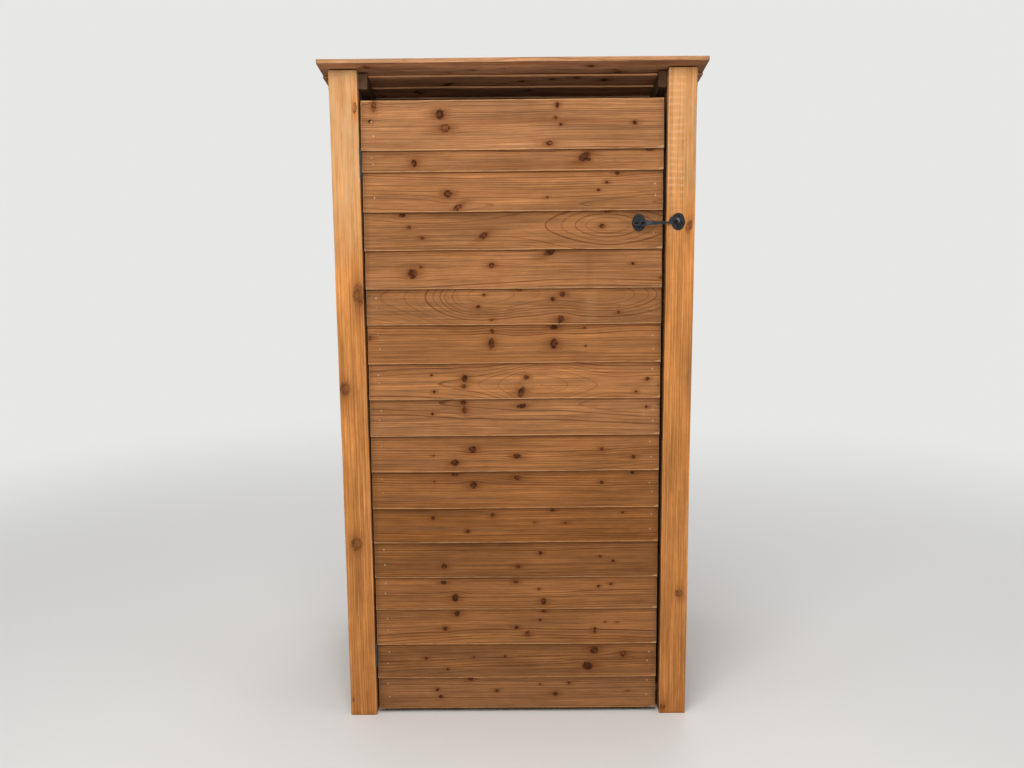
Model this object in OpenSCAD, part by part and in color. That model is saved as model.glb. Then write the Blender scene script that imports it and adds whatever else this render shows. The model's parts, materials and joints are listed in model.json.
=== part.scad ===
// Log store: a narrow lean-to shed for split firewood.
// Sawn corner posts, slatted sides and back, a slatted floor, a roof and a door of lapped
// feather-edge boards. The door hangs on two butt hinges and is held shut by a cabin hook.
// Millimetres. +Z is up, the door faces -Y, and the origin is under the middle of the roof.

/* [Store] */
// Width over the outer faces of the corner posts
store_width = 945; // [700:5:1600]
// Depth from the front of the posts to the outside of the back slats
store_depth = 790; // [500:5:1400]
// Height of the front posts at their front face
front_height = 1771; // [1300:1:2300]
// Fall of the roof towards the back, in degrees
roof_pitch = 15; // [5:1:22]

/* [Corner posts] */
// Width of the post that shows at the front
post_width = 73; // [60:1:120]
// Thickness of that front post
post_thickness = 32; // [20:1:60]
// Depth of the upright behind it, which carries the side slats
front_upright_depth = 75; // [45:1:100]
// Depth of the uprights at the back
rear_upright_depth = 47; // [32:1:75]
// Width of the upright in the middle of the back
middle_upright_width = 50; // [32:1:75]

/* [Slats] */
// Thickness of the side slats
side_slat_thickness = 22; // [12:1:30]
// Thickness of the back slats
back_slat_thickness = 16; // [12:1:30]
// Width of a side or back slat
slat_width = 94; // [60:1:120]
// Gap between two slats
slat_gap = 22; // [8:1:40]
// Height of the lowest slat above the ground
slat_clear = 25; // [10:1:80]
// Least height of a slat that is cut to the roof's slope, at its taller end
least_cut_slat = 25; // [15:1:50]

/* [Floor] */
// Width of a floor bearer
bearer_width = 45; // [30:1:75]
// Height of a floor bearer
bearer_height = 45; // [30:1:100]
// Thickness of a floor slat
floor_slat_thickness = 16; // [12:1:30]
// Width of a floor slat
floor_slat_width = 94; // [60:1:120]
// Least gap between two floor slats
floor_slat_gap = 15; // [8:1:40]
// Clearance between the back of the door and the floor
floor_clear = 6; // [5:1:20]

/* [Feather-edge boards] */
// Width of a whole board
board_width = 128; // [110:1:150]
// Thickness of a board's thick edge
thick_edge = 11; // [9:0.5:16]
// Thickness of a board's thin edge
thin_edge = 5; // [3:0.5:8]

/* [Roof] */
// Overhang of the roof in front of the posts
front_overhang = 45; // [10:1:120]
// Overhang of the roof behind the back slats
rear_overhang = 45; // [10:1:120]
// Overhang of the roof at each side
side_overhang = 22.5; // [0:0.5:80]
// Most that a roof board shows below the one above it
roof_gauge_most = 88; // [60:1:100]
// How much of the front roof board lies ahead of the second
front_board_lead = 103; // [80:1:105]
// Width of a rafter
rafter_width = 24; // [18:1:50]
// Depth of a rafter, square to the roof
rafter_depth = 38; // [30:1:90]
// How far the rafter ends lie behind the front of the posts
rafter_setback = 25; // [0:1:60]

/* [Door] */
// Gap beside the door on the hinge side
hinge_gap = 5.5; // [4.5:0.5:10]
// Gap beside the door on the hook side
hook_gap = 10; // [5:0.5:20]
// Height of the lowest board above the ground
door_bottom = 14; // [8:1:60]
// From the door's top edge up to the roof plane at the front of the posts
door_head_gap = 75; // [40:1:150]
// How far the furthest board edge lies behind the front of the posts
door_setback = 0.5; // [0:0.5:10]
// Height of the lowest board that shows below the second
first_exposure = 96; // [80:1:120]
// Height of each further board that shows
door_gauge = 100; // [80:1:110]
// Least height that is worth ripping a board down for
least_ripped = 30; // [20:1:60]

/* [Door frame] */
// Width of a stile or rail
door_rail_width = 45; // [35:1:75]
// Thickness of a stile or rail
door_rail_thickness = 28; // [20:1:45]
// How far the rails stop short of the boards' ends
rail_inset = 15; // [5:1:40]
// How far the middle rail reaches below the board edge that it carries
middle_rail_lap = 9.5; // [5:0.5:30]
// Height of the bottom rail above the ground
frame_clear = 4; // [3:1:40]

/* [Hinges] */
// Length of a butt hinge
hinge_length = 75; // [50:5:100]
// Width of one hinge leaf, from the middle of the pin
leaf_width = 35; // [20:1:45]
// Thickness of a hinge leaf
leaf_thickness = 1.4; // [1:0.1:1.7]
// Radius of the hinge pin
pin_radius = 1.5; // [1:0.1:1.5]
// From the middle of the pin to the screw holes
hinge_screw_place = 21; // [12:1:30]
// From one screw hole of a leaf to the next
hinge_screw_pitch = 27; // [12:1:40]
// From the top of the door to the middle of the upper hinge
upper_hinge_drop = 158; // [60:1:300]
// From the bottom of the door to the middle of the lower hinge
lower_hinge_rise = 171; // [100:1:300]

/* [Cabin hook] */
// Boards above the one that carries the hook
boards_above_hook = 3; // [1:1:8]
// From the edge of the door to the hook's pivot
pivot_inset = 62; // [40:0.5:120]
// From the lower edge of the board above to the hook's pivot
pivot_drop = 32; // [22:0.5:40]
// From the post's inner edge to the middle of the staple
staple_inset = 29.5; // [24:0.5:60]
// Width of a rosette
rosette_width = 36; // [30:1:45]
// Height of a rosette
rosette_height = 45; // [36:1:48]
// Radius of a rosette's upper and lower rounds
rosette_lobe = 15.5; // [8:0.5:17]
// Thickness of a rosette
rosette_thickness = 3; // [2:0.5:5]
// From the middle of a rosette to either of its screw holes
rosette_screw_place = 14; // [10:0.5:17]
// Thickness of the hook's arm
arm_thickness = 5; // [4:0.5:8]
// Height of the arm at its eye
eye_height = 15; // [10:0.5:18]
// Height of the arm just past its eye
shoulder_height = 12.5; // [6:0.5:16]
// Height of the arm where its long taper eases
waist_height = 7; // [5:0.1:10]
// Length of the slot in the eye
slot_length = 27; // [12:1:34]
// Radius of the pivot pin in that slot
pivot_radius = 2.4; // [2:0.1:3]
// Height of the arm where it meets the curl
bar_height = 5.5; // [4:0.5:7]
// Outer radius of the curl over the staple's near leg
curl_radius = 13.5; // [12:0.5:16]
// Radius of the hole under the curl
curl_hole = 6; // [4.5:0.5:7]
// How far the middle of that hole lies above the arm
curl_rise = 5; // [4:0.5:8]
// Radius of the tip
tip_radius = 2.3; // [1.8:0.1:2.4]
// How far the tip reaches down from the arm
tip_reach = 15; // [8:0.5:20]
// From the tip to either leg of the staple
staple_spread = 9; // [7:0.5:10]
// Radius of the staple's wire
staple_wire = 1.8; // [1.5:0.1:2.5]
// Clearance between the arm and the front of the door
arm_clear = 5.5; // [5:0.5:15]

/* [Hidden] */
$fn = 64;

// Gap left where one timber rests on another
seat_gap = 0.3;
// Gap between two knuckles of a hinge, along the pin
knuckle_gap = 0.3;
// Radial clearance of a pin in its bore
pin_clear = 0.05;
// Clearance between a knuckle and the faces on either side of the hinge gap
knuckle_side_clear = 0.35;
// Radial clearance of the pivot pin in the eye's slot
pivot_clear = 0.1;
// How far the pivot pin's collar and its head stand out round the pin
pivot_collar = 2;
pivot_head = 1;
// Thickness of the pivot pin's head
pivot_head_thickness = 2;
// Metal left at each end of the slot in the eye
eye_end = 4;
// Length of the shoulder between the eye and the taper
shoulder_length = 4;
// Where the taper eases, as a share of the way from the pivot to the curl
waist_place = 0.52;
// Radius of the hollow where the arm rises into the curl
rise_radius = 4;
// Height of the curl's middle above the arm, less that of its hole
curl_drop = 1;
// Bevel round a rosette's rim
rosette_bevel = 1.2;
// How far a rosette's middle lies above the staple
staple_drop = 2.5;
// Knuckles on one hinge
knuckles = 5;
// Radius of a screw hole and of its countersink, in a hinge and in a rosette
screw_hole_radius = 2;
screw_head_radius = 3.8;
// What a cutting tool runs past the piece it cuts
past = 1;

half_width = store_width / 2;
roof_width = store_width + 2 * side_overhang;
roof_depth = store_depth + front_overhang + rear_overhang;
store_front = -roof_depth / 2 + front_overhang;
store_back = store_front + store_depth;
uprights_front = store_front + post_thickness;
uprights_back = store_back - back_slat_thickness;
opening_half = half_width - post_width;
door_top = front_height - door_head_gap;
upright_width = post_width - side_slat_thickness;
board_taper = (thick_edge - thin_edge) / board_width;

// How far each door board was nailed off its gauge line, from the second board up
nailing_drift = [-1, -1, 3, -4, -3, -5, -1, -1, 0, -2, 2, -2, 0, 0, 3];

// Height of the plane that the roof boards rest on
function roof_z(y) = front_height - (y - store_front) * tan(roof_pitch);

// A section drawn in Y and Z, carried along X and centred on X = 0
module along_x(length) {
    translate([-length / 2, 0, 0])
        rotate([90, 0, 90])
            linear_extrude(length)
                children();
}

// Everything under the roof plane
module under_roof() {
    along_x(roof_width)
        polygon([
            [store_front - past, -past],
            [store_back + past, -past],
            [store_back + past, roof_z(store_back + past)],
            [store_front - past, roof_z(store_front - past)]
        ]);
}

// A timber that stands from the ground to the roof, its top cut to the slope
module standing_timber(x, y, width, depth) {
    intersection() {
        translate([x, y, 0])
            cube([width, depth, front_height + past]);
        under_roof();
    }
}

// The same shape on the other side of the store
module on_the_left() {
    mirror([1, 0, 0])
        children();
}

// ---- Corner posts and uprights ----

module front_post() {
    color([0.80, 0.61, 0.40])
        standing_timber(opening_half, store_front, post_width, post_thickness);
}

module front_upright() {
    color([0.74, 0.55, 0.36])
        standing_timber(opening_half, uprights_front, upright_width, front_upright_depth);
}

module rear_upright() {
    color([0.74, 0.55, 0.36])
        standing_timber(opening_half, uprights_back - rear_upright_depth,
                        upright_width, rear_upright_depth);
}

module rear_upright_middle() {
    color([0.74, 0.55, 0.36])
        standing_timber(-middle_upright_width / 2, uprights_back - rear_upright_depth,
                        middle_upright_width, rear_upright_depth);
}

// ---- Slats ----

slat_pitch = slat_width + slat_gap;

// How many slats start low enough below a height to be worth cutting
function slats_under(height) =
    1 + floor((height - least_cut_slat - slat_clear) / slat_pitch);

module side_slats() {
    count = slats_under(roof_z(uprights_front));
    color([0.70, 0.51, 0.33])
        intersection() {
            for (k = [0 : count - 1])
                translate([half_width - side_slat_thickness, uprights_front, slat_clear + k * slat_pitch])
                    cube([side_slat_thickness, uprights_back - uprights_front, slat_width]);
            under_roof();
        }
}

module back_slats() {
    count = floor((roof_z(store_back) - slat_clear + slat_gap) / slat_pitch);
    color([0.70, 0.51, 0.33])
        for (k = [0 : count - 1])
            translate([-half_width, uprights_back, slat_clear + k * slat_pitch])
                cube([store_width, back_slat_thickness, slat_width]);
}

// ---- Floor ----

door_lows = door_board_lows();
door_widths = door_board_widths();
door_reach = max([for (k = [0 : len(door_lows) - 1]) board_reach(k, door_lows, door_widths)]);
frame_front = store_front + door_setback + door_reach;
frame_back = frame_front + door_rail_thickness;
floor_front = frame_back + floor_clear;
floor_back = uprights_back - rear_upright_depth;

module floor_bearer(x, back) {
    translate([x - bearer_width / 2, floor_front, 0])
        cube([bearer_width, back - floor_front, bearer_height]);
}

module floor_bearers() {
    side = opening_half - bearer_width / 2;
    color([0.66, 0.48, 0.31]) {
        floor_bearer(-side, uprights_back);
        floor_bearer(0, floor_back);
        floor_bearer(side, uprights_back);
    }
}

module floor_slats() {
    run = floor_back - floor_front;
    count = floor((run + floor_slat_gap) / (floor_slat_width + floor_slat_gap));
    pitch = (run - floor_slat_width) / (count - 1);
    color([0.68, 0.49, 0.32])
        for (k = [0 : count - 1])
            translate([-opening_half, floor_front + k * pitch, bearer_height])
                cube([2 * opening_half, floor_slat_width, floor_slat_thickness]);
}

// ---- Lapped feather-edge boards ----
// A board's section stands in Y and Z with its back towards -Y. It leans: its upper edge lies
// on the frame, and its lower edge rides on the face of the board below.

// Thickness of a board at a height above its thick edge
function board_thickness(height) = thick_edge - board_taper * height;

// Sine of the lean that clears the board below, at this board's lower edge and at that one's top
function board_lean(k, lows, widths) =
    k == 0 ? 0 :
    let (
        below = board_lean(k - 1, lows, widths),
        upright = cos(asin(below)),
        lap = lows[k - 1] + widths[k - 1] - lows[k],
        face = board_thickness(widths[k - 1] - lap),
        top = board_thickness(widths[k - 1])
    )
    max((lap * below + face * upright + seat_gap) / widths[k],
        (top * upright + seat_gap) / (widths[k] - lap));

// How far a board's thick edge stands out from the frame
function board_reach(k, lows, widths) =
    let (lean = board_lean(k, lows, widths))
    widths[k] * lean + thick_edge * cos(asin(lean)) + seat_gap;

module board_section(width, low_edge, high_edge, lean) {
    rise = cos(asin(lean));
    translate([seat_gap, 0])
        polygon([
            [width * lean, 0],
            [width * lean + low_edge * rise, low_edge * lean],
            [high_edge * rise, width * rise + high_edge * lean],
            [0, width * rise]
        ]);
}

// ---- Roof ----

slope_length = (roof_depth - thick_edge * sin(roof_pitch)) / cos(roof_pitch);
roof_run = slope_length - front_board_lead - board_width;
roof_steps = ceil(roof_run / roof_gauge_most);
roof_gauge = roof_run / roof_steps;
roof_lows = [
    for (k = [0 : roof_steps]) k * roof_gauge,
    slope_length - board_width
];
roof_widths = [for (low = roof_lows) board_width];

// Sections drawn up the slope from the eaves, with their faces up
module on_roof_slope() {
    eaves = -roof_depth / 2 + slope_length * cos(roof_pitch);
    translate([0, eaves, roof_z(eaves)])
        rotate([90 - roof_pitch, 0, 0])
            children();
}

module roof_boards() {
    front = len(roof_lows) - 1;
    color([0.55, 0.39, 0.27])
        on_roof_slope() {
            for (k = [0 : front - 1])
                translate([0, 0, roof_lows[k]])
                    along_x(roof_width)
                        board_section(board_width, thick_edge, thin_edge,
                                      board_lean(k, roof_lows, roof_widths));
            // The front board is turned end for end, so that its thick edge shows
            translate([0, 0, roof_lows[front]])
                along_x(roof_width)
                    board_section(board_width, thin_edge, thick_edge,
                                  board_lean(front, roof_lows, roof_widths));
        }
}

module rafter() {
    front = store_front + rafter_setback;
    drop = rafter_depth / cos(roof_pitch);
    color([0.45, 0.38, 0.20])
        translate([opening_half - rafter_width / 2, 0, 0])
            along_x(rafter_width)
                polygon([
                    [front, roof_z(front)],
                    [front, roof_z(front) - drop],
                    [uprights_back, roof_z(uprights_back) - drop],
                    [uprights_back, roof_z(uprights_back)]
                ]);
}

// ---- Door ----

door_left = -opening_half + hinge_gap;
door_right = opening_half - hook_gap;

// Height between the lower edges of the second board and the top board
function gauge_run() = door_top - door_bottom - board_width - first_exposure;

// Gauges that go into that height, and whether what is left is worth a ripped board
function whole_gauges() = floor(gauge_run() / door_gauge);
function rips_one() = gauge_run() - whole_gauges() * door_gauge >= least_ripped;

// Where it isn't, the gauge is eased until the boards fill the height
function eased_gauge() = rips_one() ? door_gauge : gauge_run() / whole_gauges();

function gauge_line(k) =
    k == 0 ? 0 : first_exposure + (k - 1) * eased_gauge()
        + nailing_drift[(k - 1) % len(nailing_drift)];

function door_board_lows() = [
    for (k = [0 : whole_gauges() + (rips_one() ? 1 : 0)]) gauge_line(k),
    door_top - door_bottom - board_width
];

// The last board but one is ripped down to fill the height that is left
function door_board_widths() =
    let (lows = door_board_lows(), last = len(lows) - 1)
    [
        for (k = [0 : last])
            k == last - 1 && rips_one() ? lows[last] - lows[k] + board_width - door_gauge
                : board_width
    ];

module door_boards() {
    color([0.62, 0.44, 0.30])
        for (k = [0 : len(door_lows) - 1])
            translate([(door_left + door_right) / 2, frame_front, door_bottom + door_lows[k]])
                along_x(door_right - door_left)
                    mirror([1, 0])
                        board_section(door_widths[k], thick_edge, board_thickness(door_widths[k]),
                                      board_lean(k, door_lows, door_widths));
}

// A stile or rail, from its lowest corner to its highest in X and Z
module door_timber(x0, z0, x1, z1) {
    color([0.60, 0.43, 0.29])
        translate([x0, frame_front, z0])
            cube([x1 - x0, door_rail_thickness, z1 - z0]);
}

bottom_rail_top = frame_clear + door_rail_width;
top_rail_bottom = door_top - door_rail_width;
hook_stile_right = door_right - rail_inset;
hook_stile_left = hook_stile_right - door_rail_width;
hinge_stile_right = door_left + door_rail_width;
middle_board = floor(len(door_lows) / 2) - 1;
middle_rail_bottom = door_bottom + door_lows[middle_board] + door_widths[middle_board]
    - middle_rail_lap;

module door_stile_hinge_side() {
    door_timber(door_left, bottom_rail_top, hinge_stile_right, top_rail_bottom);
}

module door_stile_hook_side() {
    door_timber(hook_stile_left, bottom_rail_top, hook_stile_right, top_rail_bottom);
}

module door_rail_top() {
    door_timber(door_left + rail_inset, top_rail_bottom, hook_stile_right, door_top);
}

module door_rail_middle() {
    door_timber(hinge_stile_right, middle_rail_bottom,
                hook_stile_left, middle_rail_bottom + door_rail_width);
}

module door_rail_bottom() {
    door_timber(door_left + rail_inset, frame_clear, hook_stile_right, bottom_rail_top);
}

// ---- Hinges ----
// Each is a pressed butt hinge closed in the gap beside the door. Its pin stands level with the
// front of the posts, so that the boards' ends swing clear of the post.

// A countersunk hole through a plate that lies on Z = 0
module screw_hole(plate) {
    translate([0, 0, -past])
        cylinder(r = screw_hole_radius, h = plate + 2 * past);
    sink = screw_head_radius - screw_hole_radius;
    translate([0, 0, plate - sink])
        cylinder(r1 = screw_hole_radius, r2 = screw_head_radius + past, h = sink + past);
}

hinge_axis = [-opening_half + hinge_gap / 2, store_front];
knuckle_radius = hinge_gap / 2 - knuckle_side_clear;
knuckle_length = hinge_length / knuckles;
upper_hinge_z = door_top - upper_hinge_drop;
lower_hinge_z = door_bottom + lower_hinge_rise;

// A leaf with every second knuckle. It lies against the face at x, which is on the side given.
module hinge_leaf(z, x, side, first) {
    color([0.55, 0.56, 0.58])
        translate([hinge_axis[0], hinge_axis[1], z - hinge_length / 2])
            difference() {
                union() {
                    difference() {
                        translate([side > 0 ? x - leaf_thickness : x, 0, 0])
                            cube([leaf_thickness, leaf_width, hinge_length]);
                        for (k = [1 - first : 2 : knuckles - 1])
                            translate([-hinge_gap, -past, k * knuckle_length - knuckle_gap / 2])
                                cube([2 * hinge_gap, past + knuckle_radius + knuckle_gap,
                                      knuckle_length + knuckle_gap]);
                    }
                    for (k = [first : 2 : knuckles - 1])
                        translate([0, 0, k * knuckle_length + knuckle_gap / 2])
                            cylinder(r = knuckle_radius, h = knuckle_length - knuckle_gap);
                }
                translate([0, 0, -past])
                    cylinder(r = pin_radius + pin_clear, h = hinge_length + 2 * past);
                for (k = [-1 : 1])
                    translate([x, hinge_screw_place, hinge_length / 2 + k * hinge_screw_pitch])
                        rotate([0, -side * 90, 0])
                            screw_hole(leaf_thickness);
            }
}

module hinge_frame_leaf(z) {
    hinge_leaf(z, -hinge_gap / 2, -1, 0);
}

module hinge_door_leaf(z) {
    hinge_leaf(z, hinge_gap / 2, 1, 1);
}

module hinge_pin(z) {
    color([0.62, 0.63, 0.65])
        translate([hinge_axis[0], hinge_axis[1], z - hinge_length / 2])
            cylinder(r = pin_radius, h = hinge_length);
}

// ---- Cabin hook ----
// A rosette on the door carries the arm on a riveted pin. The arm's end bends up, over the
// near leg of a staple on the post and down into it.

hook_board = len(door_lows) - 1 - boards_above_hook;
hook_z = door_bottom + door_lows[hook_board + 1] - pivot_drop;
hook_x = door_right - pivot_inset;
arm_y = store_front - arm_clear - arm_thickness / 2;
tip_x = opening_half + staple_inset;

// Middles of the curl, of its hole and of the hollow in front of it, about the pivot
tip_place = tip_x - hook_x;
curl_x = tip_place + bar_height / 2 - curl_radius;
curl_z = curl_rise - curl_drop;
hole_x = tip_place - bar_height / 2 - curl_hole;
hollow_z = bar_height / 2 + rise_radius;
hollow_x = curl_x - sqrt(pow(curl_radius + rise_radius, 2) - pow(hollow_z - curl_z, 2));

// Lean of the exposed face of the board that carries the hook, and its place at the pivot
hook_lean = board_lean(hook_board, door_lows, door_widths);
hook_face_angle = asin(hook_lean) + atan(board_taper);
hook_face_y = frame_front - board_reach(hook_board, door_lows, door_widths)
    + (hook_z - door_bottom - door_lows[hook_board] - thick_edge * hook_lean) * tan(hook_face_angle);

// A round plate with a bevelled rim, on Z = 0
module bevelled_round(radius) {
    cylinder(r = radius, h = rosette_thickness - rosette_bevel);
    translate([0, 0, rosette_thickness - rosette_bevel])
        cylinder(r1 = radius, r2 = radius - rosette_bevel, h = rosette_bevel);
}

// A cast rosette, its back on Z = 0: one round between two smaller ones
module rosette() {
    difference() {
        union() {
            bevelled_round(rosette_width / 2);
            for (side = [-1, 1])
                translate([0, side * (rosette_height / 2 - rosette_lobe), 0])
                    bevelled_round(rosette_lobe);
        }
        for (side = [-1, 1])
            translate([0, side * rosette_screw_place, 0])
                screw_hole(rosette_thickness);
    }
}

// A round pin along Y, between two places in Y
module pin_along_y(radius, x, z, back, front) {
    translate([x, back, z])
        rotate([90, 0, 0])
            cylinder(r = radius, h = back - front);
}

module hook_rosette() {
    pin_back = hook_face_y - rosette_thickness / 2;
    arm_back = arm_y + arm_thickness / 2 + seat_gap;
    arm_front = arm_y - arm_thickness / 2 - seat_gap;
    color([0.13, 0.13, 0.14]) {
        translate([hook_x, hook_face_y - seat_gap, hook_z])
            rotate([90 - hook_face_angle, 0, 0])
                rosette();
        pin_along_y(pivot_radius + pivot_collar, hook_x, hook_z, pin_back, arm_back);
        pin_along_y(pivot_radius, hook_x, hook_z, pin_back, arm_front - past);
        pin_along_y(pivot_radius + pivot_head, hook_x, hook_z,
                    arm_front, arm_front - pivot_head_thickness);
    }
}

// The arm's outline, drawn in X and Z about the pivot. It tapers from its eye, rises into the
// curl, runs over the hole and comes down on the side of the tip.
module arm_outline() {
    eye_half = slot_length / 2 + eye_end;
    half_slot = slot_length / 2 - pivot_radius;
    waist = tip_place * waist_place;
    difference() {
        union() {
            for (side = [-1, 1])
                translate([side * (eye_half - eye_height / 2), 0])
                    circle(d = eye_height);
            square([2 * eye_half - eye_height, eye_height], center = true);
            polygon([
                [eye_half - eye_height / 2, eye_height / 2],
                [eye_half + shoulder_length, shoulder_height / 2],
                [waist, waist_height / 2],
                [hollow_x, bar_height / 2],
                [hollow_x, -bar_height / 2],
                [waist, -waist_height / 2],
                [eye_half + shoulder_length, -shoulder_height / 2],
                [eye_half - eye_height / 2, -eye_height / 2]
            ]);
            polygon([
                [hollow_x - past, bar_height / 2],
                [hollow_x, bar_height / 2],
                [hollow_x, hollow_z],
                [curl_x, curl_z],
                [curl_x, -bar_height / 2],
                [hollow_x - past, -bar_height / 2]
            ]);
            translate([curl_x, curl_z])
                circle(r = curl_radius);
        }
        // The slot in the eye
        for (side = [-1, 1])
            translate([side * half_slot, 0])
                circle(r = pivot_radius + pivot_clear);
        square([2 * half_slot, 2 * (pivot_radius + pivot_clear)], center = true);
        // The hollow, the hole, its mouth, and what the curl leaves below the arm
        translate([hollow_x, hollow_z])
            circle(r = rise_radius);
        translate([hole_x, curl_rise])
            circle(r = curl_hole);
        translate([hole_x - curl_hole, -curl_radius])
            square([2 * curl_hole, curl_radius + curl_rise]);
        translate([hollow_x - past, -bar_height / 2 - curl_radius])
            square([tip_place + curl_radius, curl_radius]);
    }
}

module hook_arm() {
    color([0.12, 0.12, 0.13]) {
        translate([hook_x, arm_y + arm_thickness / 2, hook_z])
            rotate([90, 0, 0])
                linear_extrude(arm_thickness)
                    arm_outline();
        // The tip, down through the staple
        translate([tip_x, arm_y, hook_z - tip_reach])
            cylinder(r = tip_radius, h = tip_reach + curl_rise);
        translate([tip_x, arm_y, hook_z - tip_reach])
            sphere(r = tip_radius);
    }
}

// A wire staple, its legs level and its bow towards the front
module staple() {
    for (side = [-1, 1])
        pin_along_y(staple_wire, tip_x + side * staple_spread, hook_z, store_front - seat_gap, arm_y);
    translate([tip_x, arm_y, hook_z])
        rotate_extrude(angle = -180)
            translate([staple_spread, 0])
                circle(r = staple_wire);
}

module staple_rosette() {
    color([0.13, 0.13, 0.14])
        union() {
            translate([tip_x, store_front - seat_gap, hook_z + staple_drop])
                rotate([90, 0, 0])
                    rosette();
            staple();
        }
}

on_the_left() front_post();  // front_post_left
front_post();  // front_post_right
on_the_left() front_upright();  // front_upright_left
front_upright();  // front_upright_right
on_the_left() rear_upright();  // rear_upright_left
rear_upright();  // rear_upright_right
rear_upright_middle();
on_the_left() side_slats();  // side_slats_left
side_slats();  // side_slats_right
back_slats();
on_the_left() rafter();  // rafter_left
rafter();  // rafter_right
roof_boards();
floor_bearers();
floor_slats();
door_boards();
door_stile_hinge_side();
door_stile_hook_side();
door_rail_top();
door_rail_middle();
door_rail_bottom();
hinge_frame_leaf(upper_hinge_z);  // upper_hinge_frame_leaf
hinge_door_leaf(upper_hinge_z);  // upper_hinge_door_leaf
hinge_pin(upper_hinge_z);  // upper_hinge_pin
hinge_frame_leaf(lower_hinge_z);  // lower_hinge_frame_leaf
hinge_door_leaf(lower_hinge_z);  // lower_hinge_door_leaf
hinge_pin(lower_hinge_z);  // lower_hinge_pin
hook_rosette();
hook_arm();
staple_rosette();
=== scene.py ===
# %% [markdown]
# # A log store, from the CAD frame to the finished picture
#
# The real thing is a narrow lean-to for split firewood. Everything on it is sawn softwood that
# was dipped in a brown preservative: two square-edged posts in front, a door and a roof of
# feather-edge boards that lap over each other, and slats with air gaps round the other sides.
# The only metal is a pair of dull grey hinges, a black cabin hook, and the nails.
#
# The CAD model gives every piece its place and size. Here each timber is made again as if it
# were cut from a log: the mesh carries the distance from the log's pith, so growth rings run
# through a board from face to end grain, and they swerve round the knots.

# %% Load the frame
import json
import math
from functools import partial

import bpy
import numpy as np
from mathutils import Matrix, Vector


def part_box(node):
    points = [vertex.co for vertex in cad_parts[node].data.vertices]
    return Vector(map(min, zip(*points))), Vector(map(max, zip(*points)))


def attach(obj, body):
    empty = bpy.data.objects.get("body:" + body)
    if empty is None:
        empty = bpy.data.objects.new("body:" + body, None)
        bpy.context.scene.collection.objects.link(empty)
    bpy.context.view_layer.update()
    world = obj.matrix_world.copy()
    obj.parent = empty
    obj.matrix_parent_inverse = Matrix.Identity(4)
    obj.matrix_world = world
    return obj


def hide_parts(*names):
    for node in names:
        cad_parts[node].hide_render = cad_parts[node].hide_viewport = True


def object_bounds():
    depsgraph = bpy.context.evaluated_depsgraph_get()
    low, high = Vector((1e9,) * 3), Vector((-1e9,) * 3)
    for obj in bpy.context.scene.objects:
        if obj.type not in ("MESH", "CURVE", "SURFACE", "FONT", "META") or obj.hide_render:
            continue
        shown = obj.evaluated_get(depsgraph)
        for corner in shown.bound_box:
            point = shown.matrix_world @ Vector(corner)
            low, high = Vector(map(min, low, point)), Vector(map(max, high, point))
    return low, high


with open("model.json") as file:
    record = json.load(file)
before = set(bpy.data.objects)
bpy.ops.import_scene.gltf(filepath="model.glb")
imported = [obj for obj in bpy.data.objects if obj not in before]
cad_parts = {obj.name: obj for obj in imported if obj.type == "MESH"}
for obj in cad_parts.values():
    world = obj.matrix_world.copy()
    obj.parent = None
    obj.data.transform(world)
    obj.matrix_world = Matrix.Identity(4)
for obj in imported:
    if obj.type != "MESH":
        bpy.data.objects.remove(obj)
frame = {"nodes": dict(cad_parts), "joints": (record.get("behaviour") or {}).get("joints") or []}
CAD_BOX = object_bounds()

# %% [markdown]
# ## Where to stand
#
# The store is looked at from the front, a little below the eye height of someone who stands,
# with the camera tipped down ten degrees and rolled half a degree. A camera looks along its own
# -Z, so it is first stood up by a quarter turn about X, less the tilt. The turn about the
# upright axis goes on the outside of that product, and the roll on the inside.

# %% Camera
SENSOR_WIDTH = 36.0
LENS = 38.67
CAMERA_PLACE = (0.0034, -3.3006, 1.4779)
CAMERA_TURN, CAMERA_TILT, CAMERA_ROLL = 0.242, 10.25, -0.504


def put_in_scene(name, data):
    """A new object that holds the data, linked into the scene."""
    made = bpy.data.objects.new(name, data)
    bpy.context.scene.collection.objects.link(made)
    return made


camera_data = bpy.data.cameras.new("camera")
camera_data.sensor_width = SENSOR_WIDTH
camera_data.lens = LENS
camera = put_in_scene("camera", camera_data)
camera.matrix_world = (
    Matrix.Translation(CAMERA_PLACE)
    @ Matrix.Rotation(math.radians(CAMERA_TURN), 4, "Z")
    @ Matrix.Rotation(math.radians(90 - CAMERA_TILT), 4, "X")
    @ Matrix.Rotation(math.radians(CAMERA_ROLL), 4, "Z")
)
bpy.context.scene.camera = camera
print("camera at", CAMERA_PLACE, "lens", LENS, "mm")

# %% [markdown]
# ## One line for one shader node
#
# The sky, the floor, the wood and the metals are all trees of shader nodes. Written out, a node
# takes a line to add it and one more for each number and each link. So a helper adds a node,
# fills its sockets and hands back an output, and short covers over it name the common kinds.

# %% Helpers for shader nodes
def shade(tree, kind, given=(), take=0, **settings):
    """Adds a shader node and returns one of its outputs. `given` pairs a socket with what goes
    into it: a number, a colour, or the output of another node."""
    made = tree.nodes.new("ShaderNode" + kind)
    for name, value in settings.items():
        setattr(made, name, value)
    for socket, value in dict(given).items():
        if isinstance(value, bpy.types.NodeSocket):
            tree.links.new(value, made.inputs[socket])
        else:
            made.inputs[socket].default_value = value
    return made.outputs[take]


def maths(tree, operation, a, b=0.0, clamp=False):
    """One sum of one or two numbers."""
    return shade(tree, "Math", {0: a, 1: b}, operation=operation, use_clamp=clamp)


def vector_maths(tree, operation, a, b=(0.0, 0.0, 0.0), take=0):
    """One sum of one or two vectors."""
    return shade(tree, "VectorMath", {0: a, 1: b}, take, operation=operation)


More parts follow.
